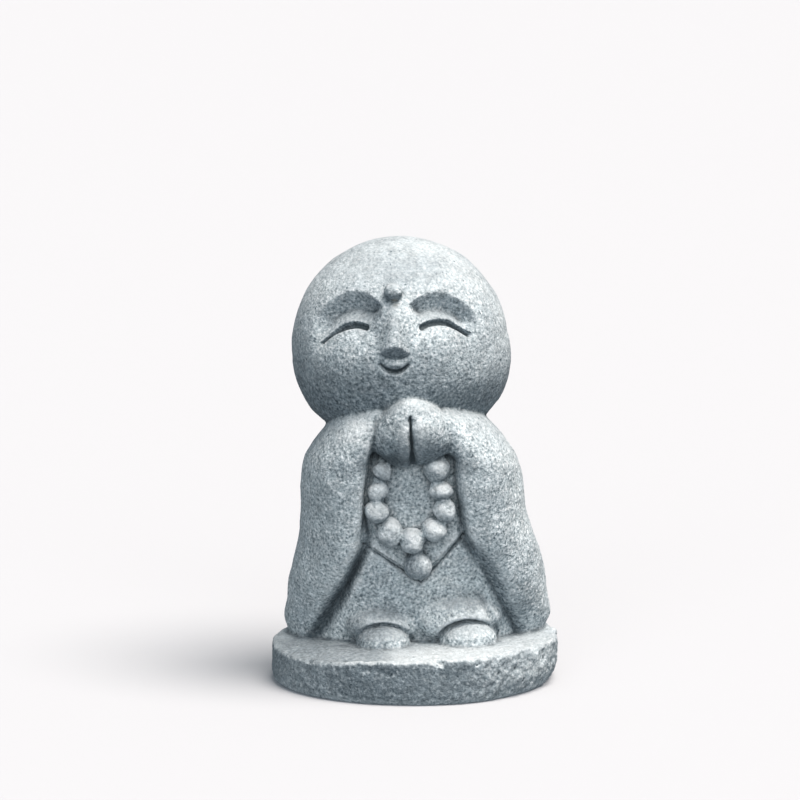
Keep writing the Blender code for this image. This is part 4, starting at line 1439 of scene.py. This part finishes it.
def smoothed(points, pairs, count, passes):
    """The points after passes of each one moving to the middle of its neighbours."""
    for _ in range(passes):
        total = np.stack(
            [
                np.bincount(pairs[:, 0], points[pairs[:, 1], k], len(points))
                + np.bincount(pairs[:, 1], points[pairs[:, 0], k], len(points))
                for k in range(3)
            ],
            axis=1,
        )
        points = total / count[:, None]
    return points


mesh = statue.data
points, normals = read(mesh, "co"), read(mesh, "normal")
pairs = np.empty(len(mesh.edges) * 2, np.int32)
mesh.edges.foreach_get("vertices", pairs)
pairs = pairs.reshape(-1, 2)
count = np.maximum(np.bincount(pairs.ravel(), minlength=len(points)), 1)
fine = smoothed(points, pairs, count, FINE_PASSES)
broad = smoothed(fine, pairs, count, BROAD_PASSES)
dip_fine = np.einsum("ij,ij->i", fine - points, normals) / MM
dip_broad = np.einsum("ij,ij->i", broad - points, normals) / MM
print("deepest dip:", round(float(dip_broad.max()), 2), "mm")

# %% Mark the painted shade in crevices, the painted light and the earth
# How deep a dip or how high a bulge begins to count, over how much it grows, and how strong it is
FINE_DIP, BROAD_DIP, BULGE = (0.05, 0.2, 0.8), (0.06, 0.3, 0.6), (0.1, 0.15, 0.4)
MOST_CREVICE = 0.9
SHADED_LESS = 0.45  # a dip that has painted shade already is darkened by this share less
# Painted light: its share on the face and on the base, and how much lies on the base's front top
FACE_LIT, BASE_LIT, TOP_LIT = 0.2, 0.25, 0.12

# Patches with the same measures as those of painted shade
LIGHTER_CREASE = (5.0, 20.5, 2.0, 5.0, 0.5)  # less painted shade, beside the beads at the right
LESS_LIT = (-2.6, 42.3, 2.6, 2.6, 0.9)  # less painted light, on the mark between the brows
# Patches of painted light
LIT_PATCHES = (
    (-6.2, 26.7, 2.4, 1.3, 0.38),  # painted light on the left sleeve's shoulder
    (-7.6, 25.6, 2.4, 1.3, 0.2),
    (-3.9, 21.4, 1.3, 1.3, 0.4),  # the first, the fourth and the ninth bead
    (-2.6, 14.0, 1.5, 1.7, 0.3),
    (2.6, 22.0, 1.6, 1.5, 0.5),
)

# Sideways place, depth, height and reach of each spot of earth
EARTH_SPOTS = ((3.9, -7.4, 8.1, 1.0), (1.2, -7.4, 7.3, 0.8), (-2.3, -10.8, 41.4, 0.7))
EARTH_MUCH = 0.45


def past(value, start, reach, much):
    """How much a dip or a bulge counts that is past its start."""
    return much * np.clip((value - start) / reach, 0, 1)


# Painted shade in dips, as ambient occlusion darkens them, less where other painted shade lies
crevice = past(dip_fine, *FINE_DIP) + past(dip_broad, *BROAD_DIP)
crevice *= (1 - SHADED_LESS * hollow_shade) * (1 - less_shade) * (1 - patch(*LIGHTER_CREASE))
crevice = np.clip(np.maximum(crevice, darkest), 0, MOST_CREVICE)
# Painted light on bulges, less on the face and the base, more on the base's front top and patches
rubbed = past(-dip_broad, *BULGE)
rubbed[face] *= FACE_LIT
rubbed *= 1 - patch(*LESS_LIT)
rubbed[heights < BASE_THICKNESS + 1] *= BASE_LIT
rubbed_top = TOP_LIT * on_top * (normals[:, 2] > 0.5) * fade(points[:, 1] / MM, -10, -6)
rubbed = np.max([rubbed, rubbed_top, *[patch(*spot) for spot in LIT_PATCHES]], axis=0)
earth = np.zeros(len(points))
for x, y, z, size in EARTH_SPOTS:
    gap = np.linalg.norm(points - np.array(at(x, y, z)), axis=1) / MM
    earth = np.maximum(earth, EARTH_MUCH * fade(gap, size * 0.2, size))
mark_points(mesh, crevice=crevice, rubbed=rubbed, earth=earth)
print("rubbed bare:", int((rubbed > 0.3).sum()), "points")
print("crevices:", int((crevice > 0.5).sum()), "points of", len(points))

# %% [markdown]
# ## Thin the skin and stand it down
#
# The skin's even grid spends as many faces on a flat side as on an eye. Decimate merges faces where
# the form is plain and keeps them where it is carved. Then the underside is pressed flat, because
# the statue stands on it.

# %% Thin the skin and flatten the underside
MOST_TRIANGLES = 190000
UNDERSIDE = 0.12  # what is this low is pressed flat

faces = sum(len(face.vertices) - 2 for face in statue.data.polygons)
thin = statue.modifiers.new("thin", "DECIMATE")
thin.ratio = min(1.0, MOST_TRIANGLES / faces)
statue = baked(statue, "jizo_stone")
points = read(statue.data, "co")
low = points[:, 2].min()
points[:, 2] = np.where(points[:, 2] < low + UNDERSIDE * MM, 0.0, points[:, 2])
write(statue.data, points)
statue.data.shade_smooth()
print("statue:", sum(len(f.vertices) - 2 for f in statue.data.polygons), "triangles")

# %% [markdown]
# ## Join the statue to the frame
#
# The whole statue is one piece, as the real one is, so one object rides on the body and stands for
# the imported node.

# %% Join the frame
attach(statue, "root")
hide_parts("jizo_statue")
low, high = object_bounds()
print("the finished statue in millimetres:", [round(v / MM, 2) for v in high - low])
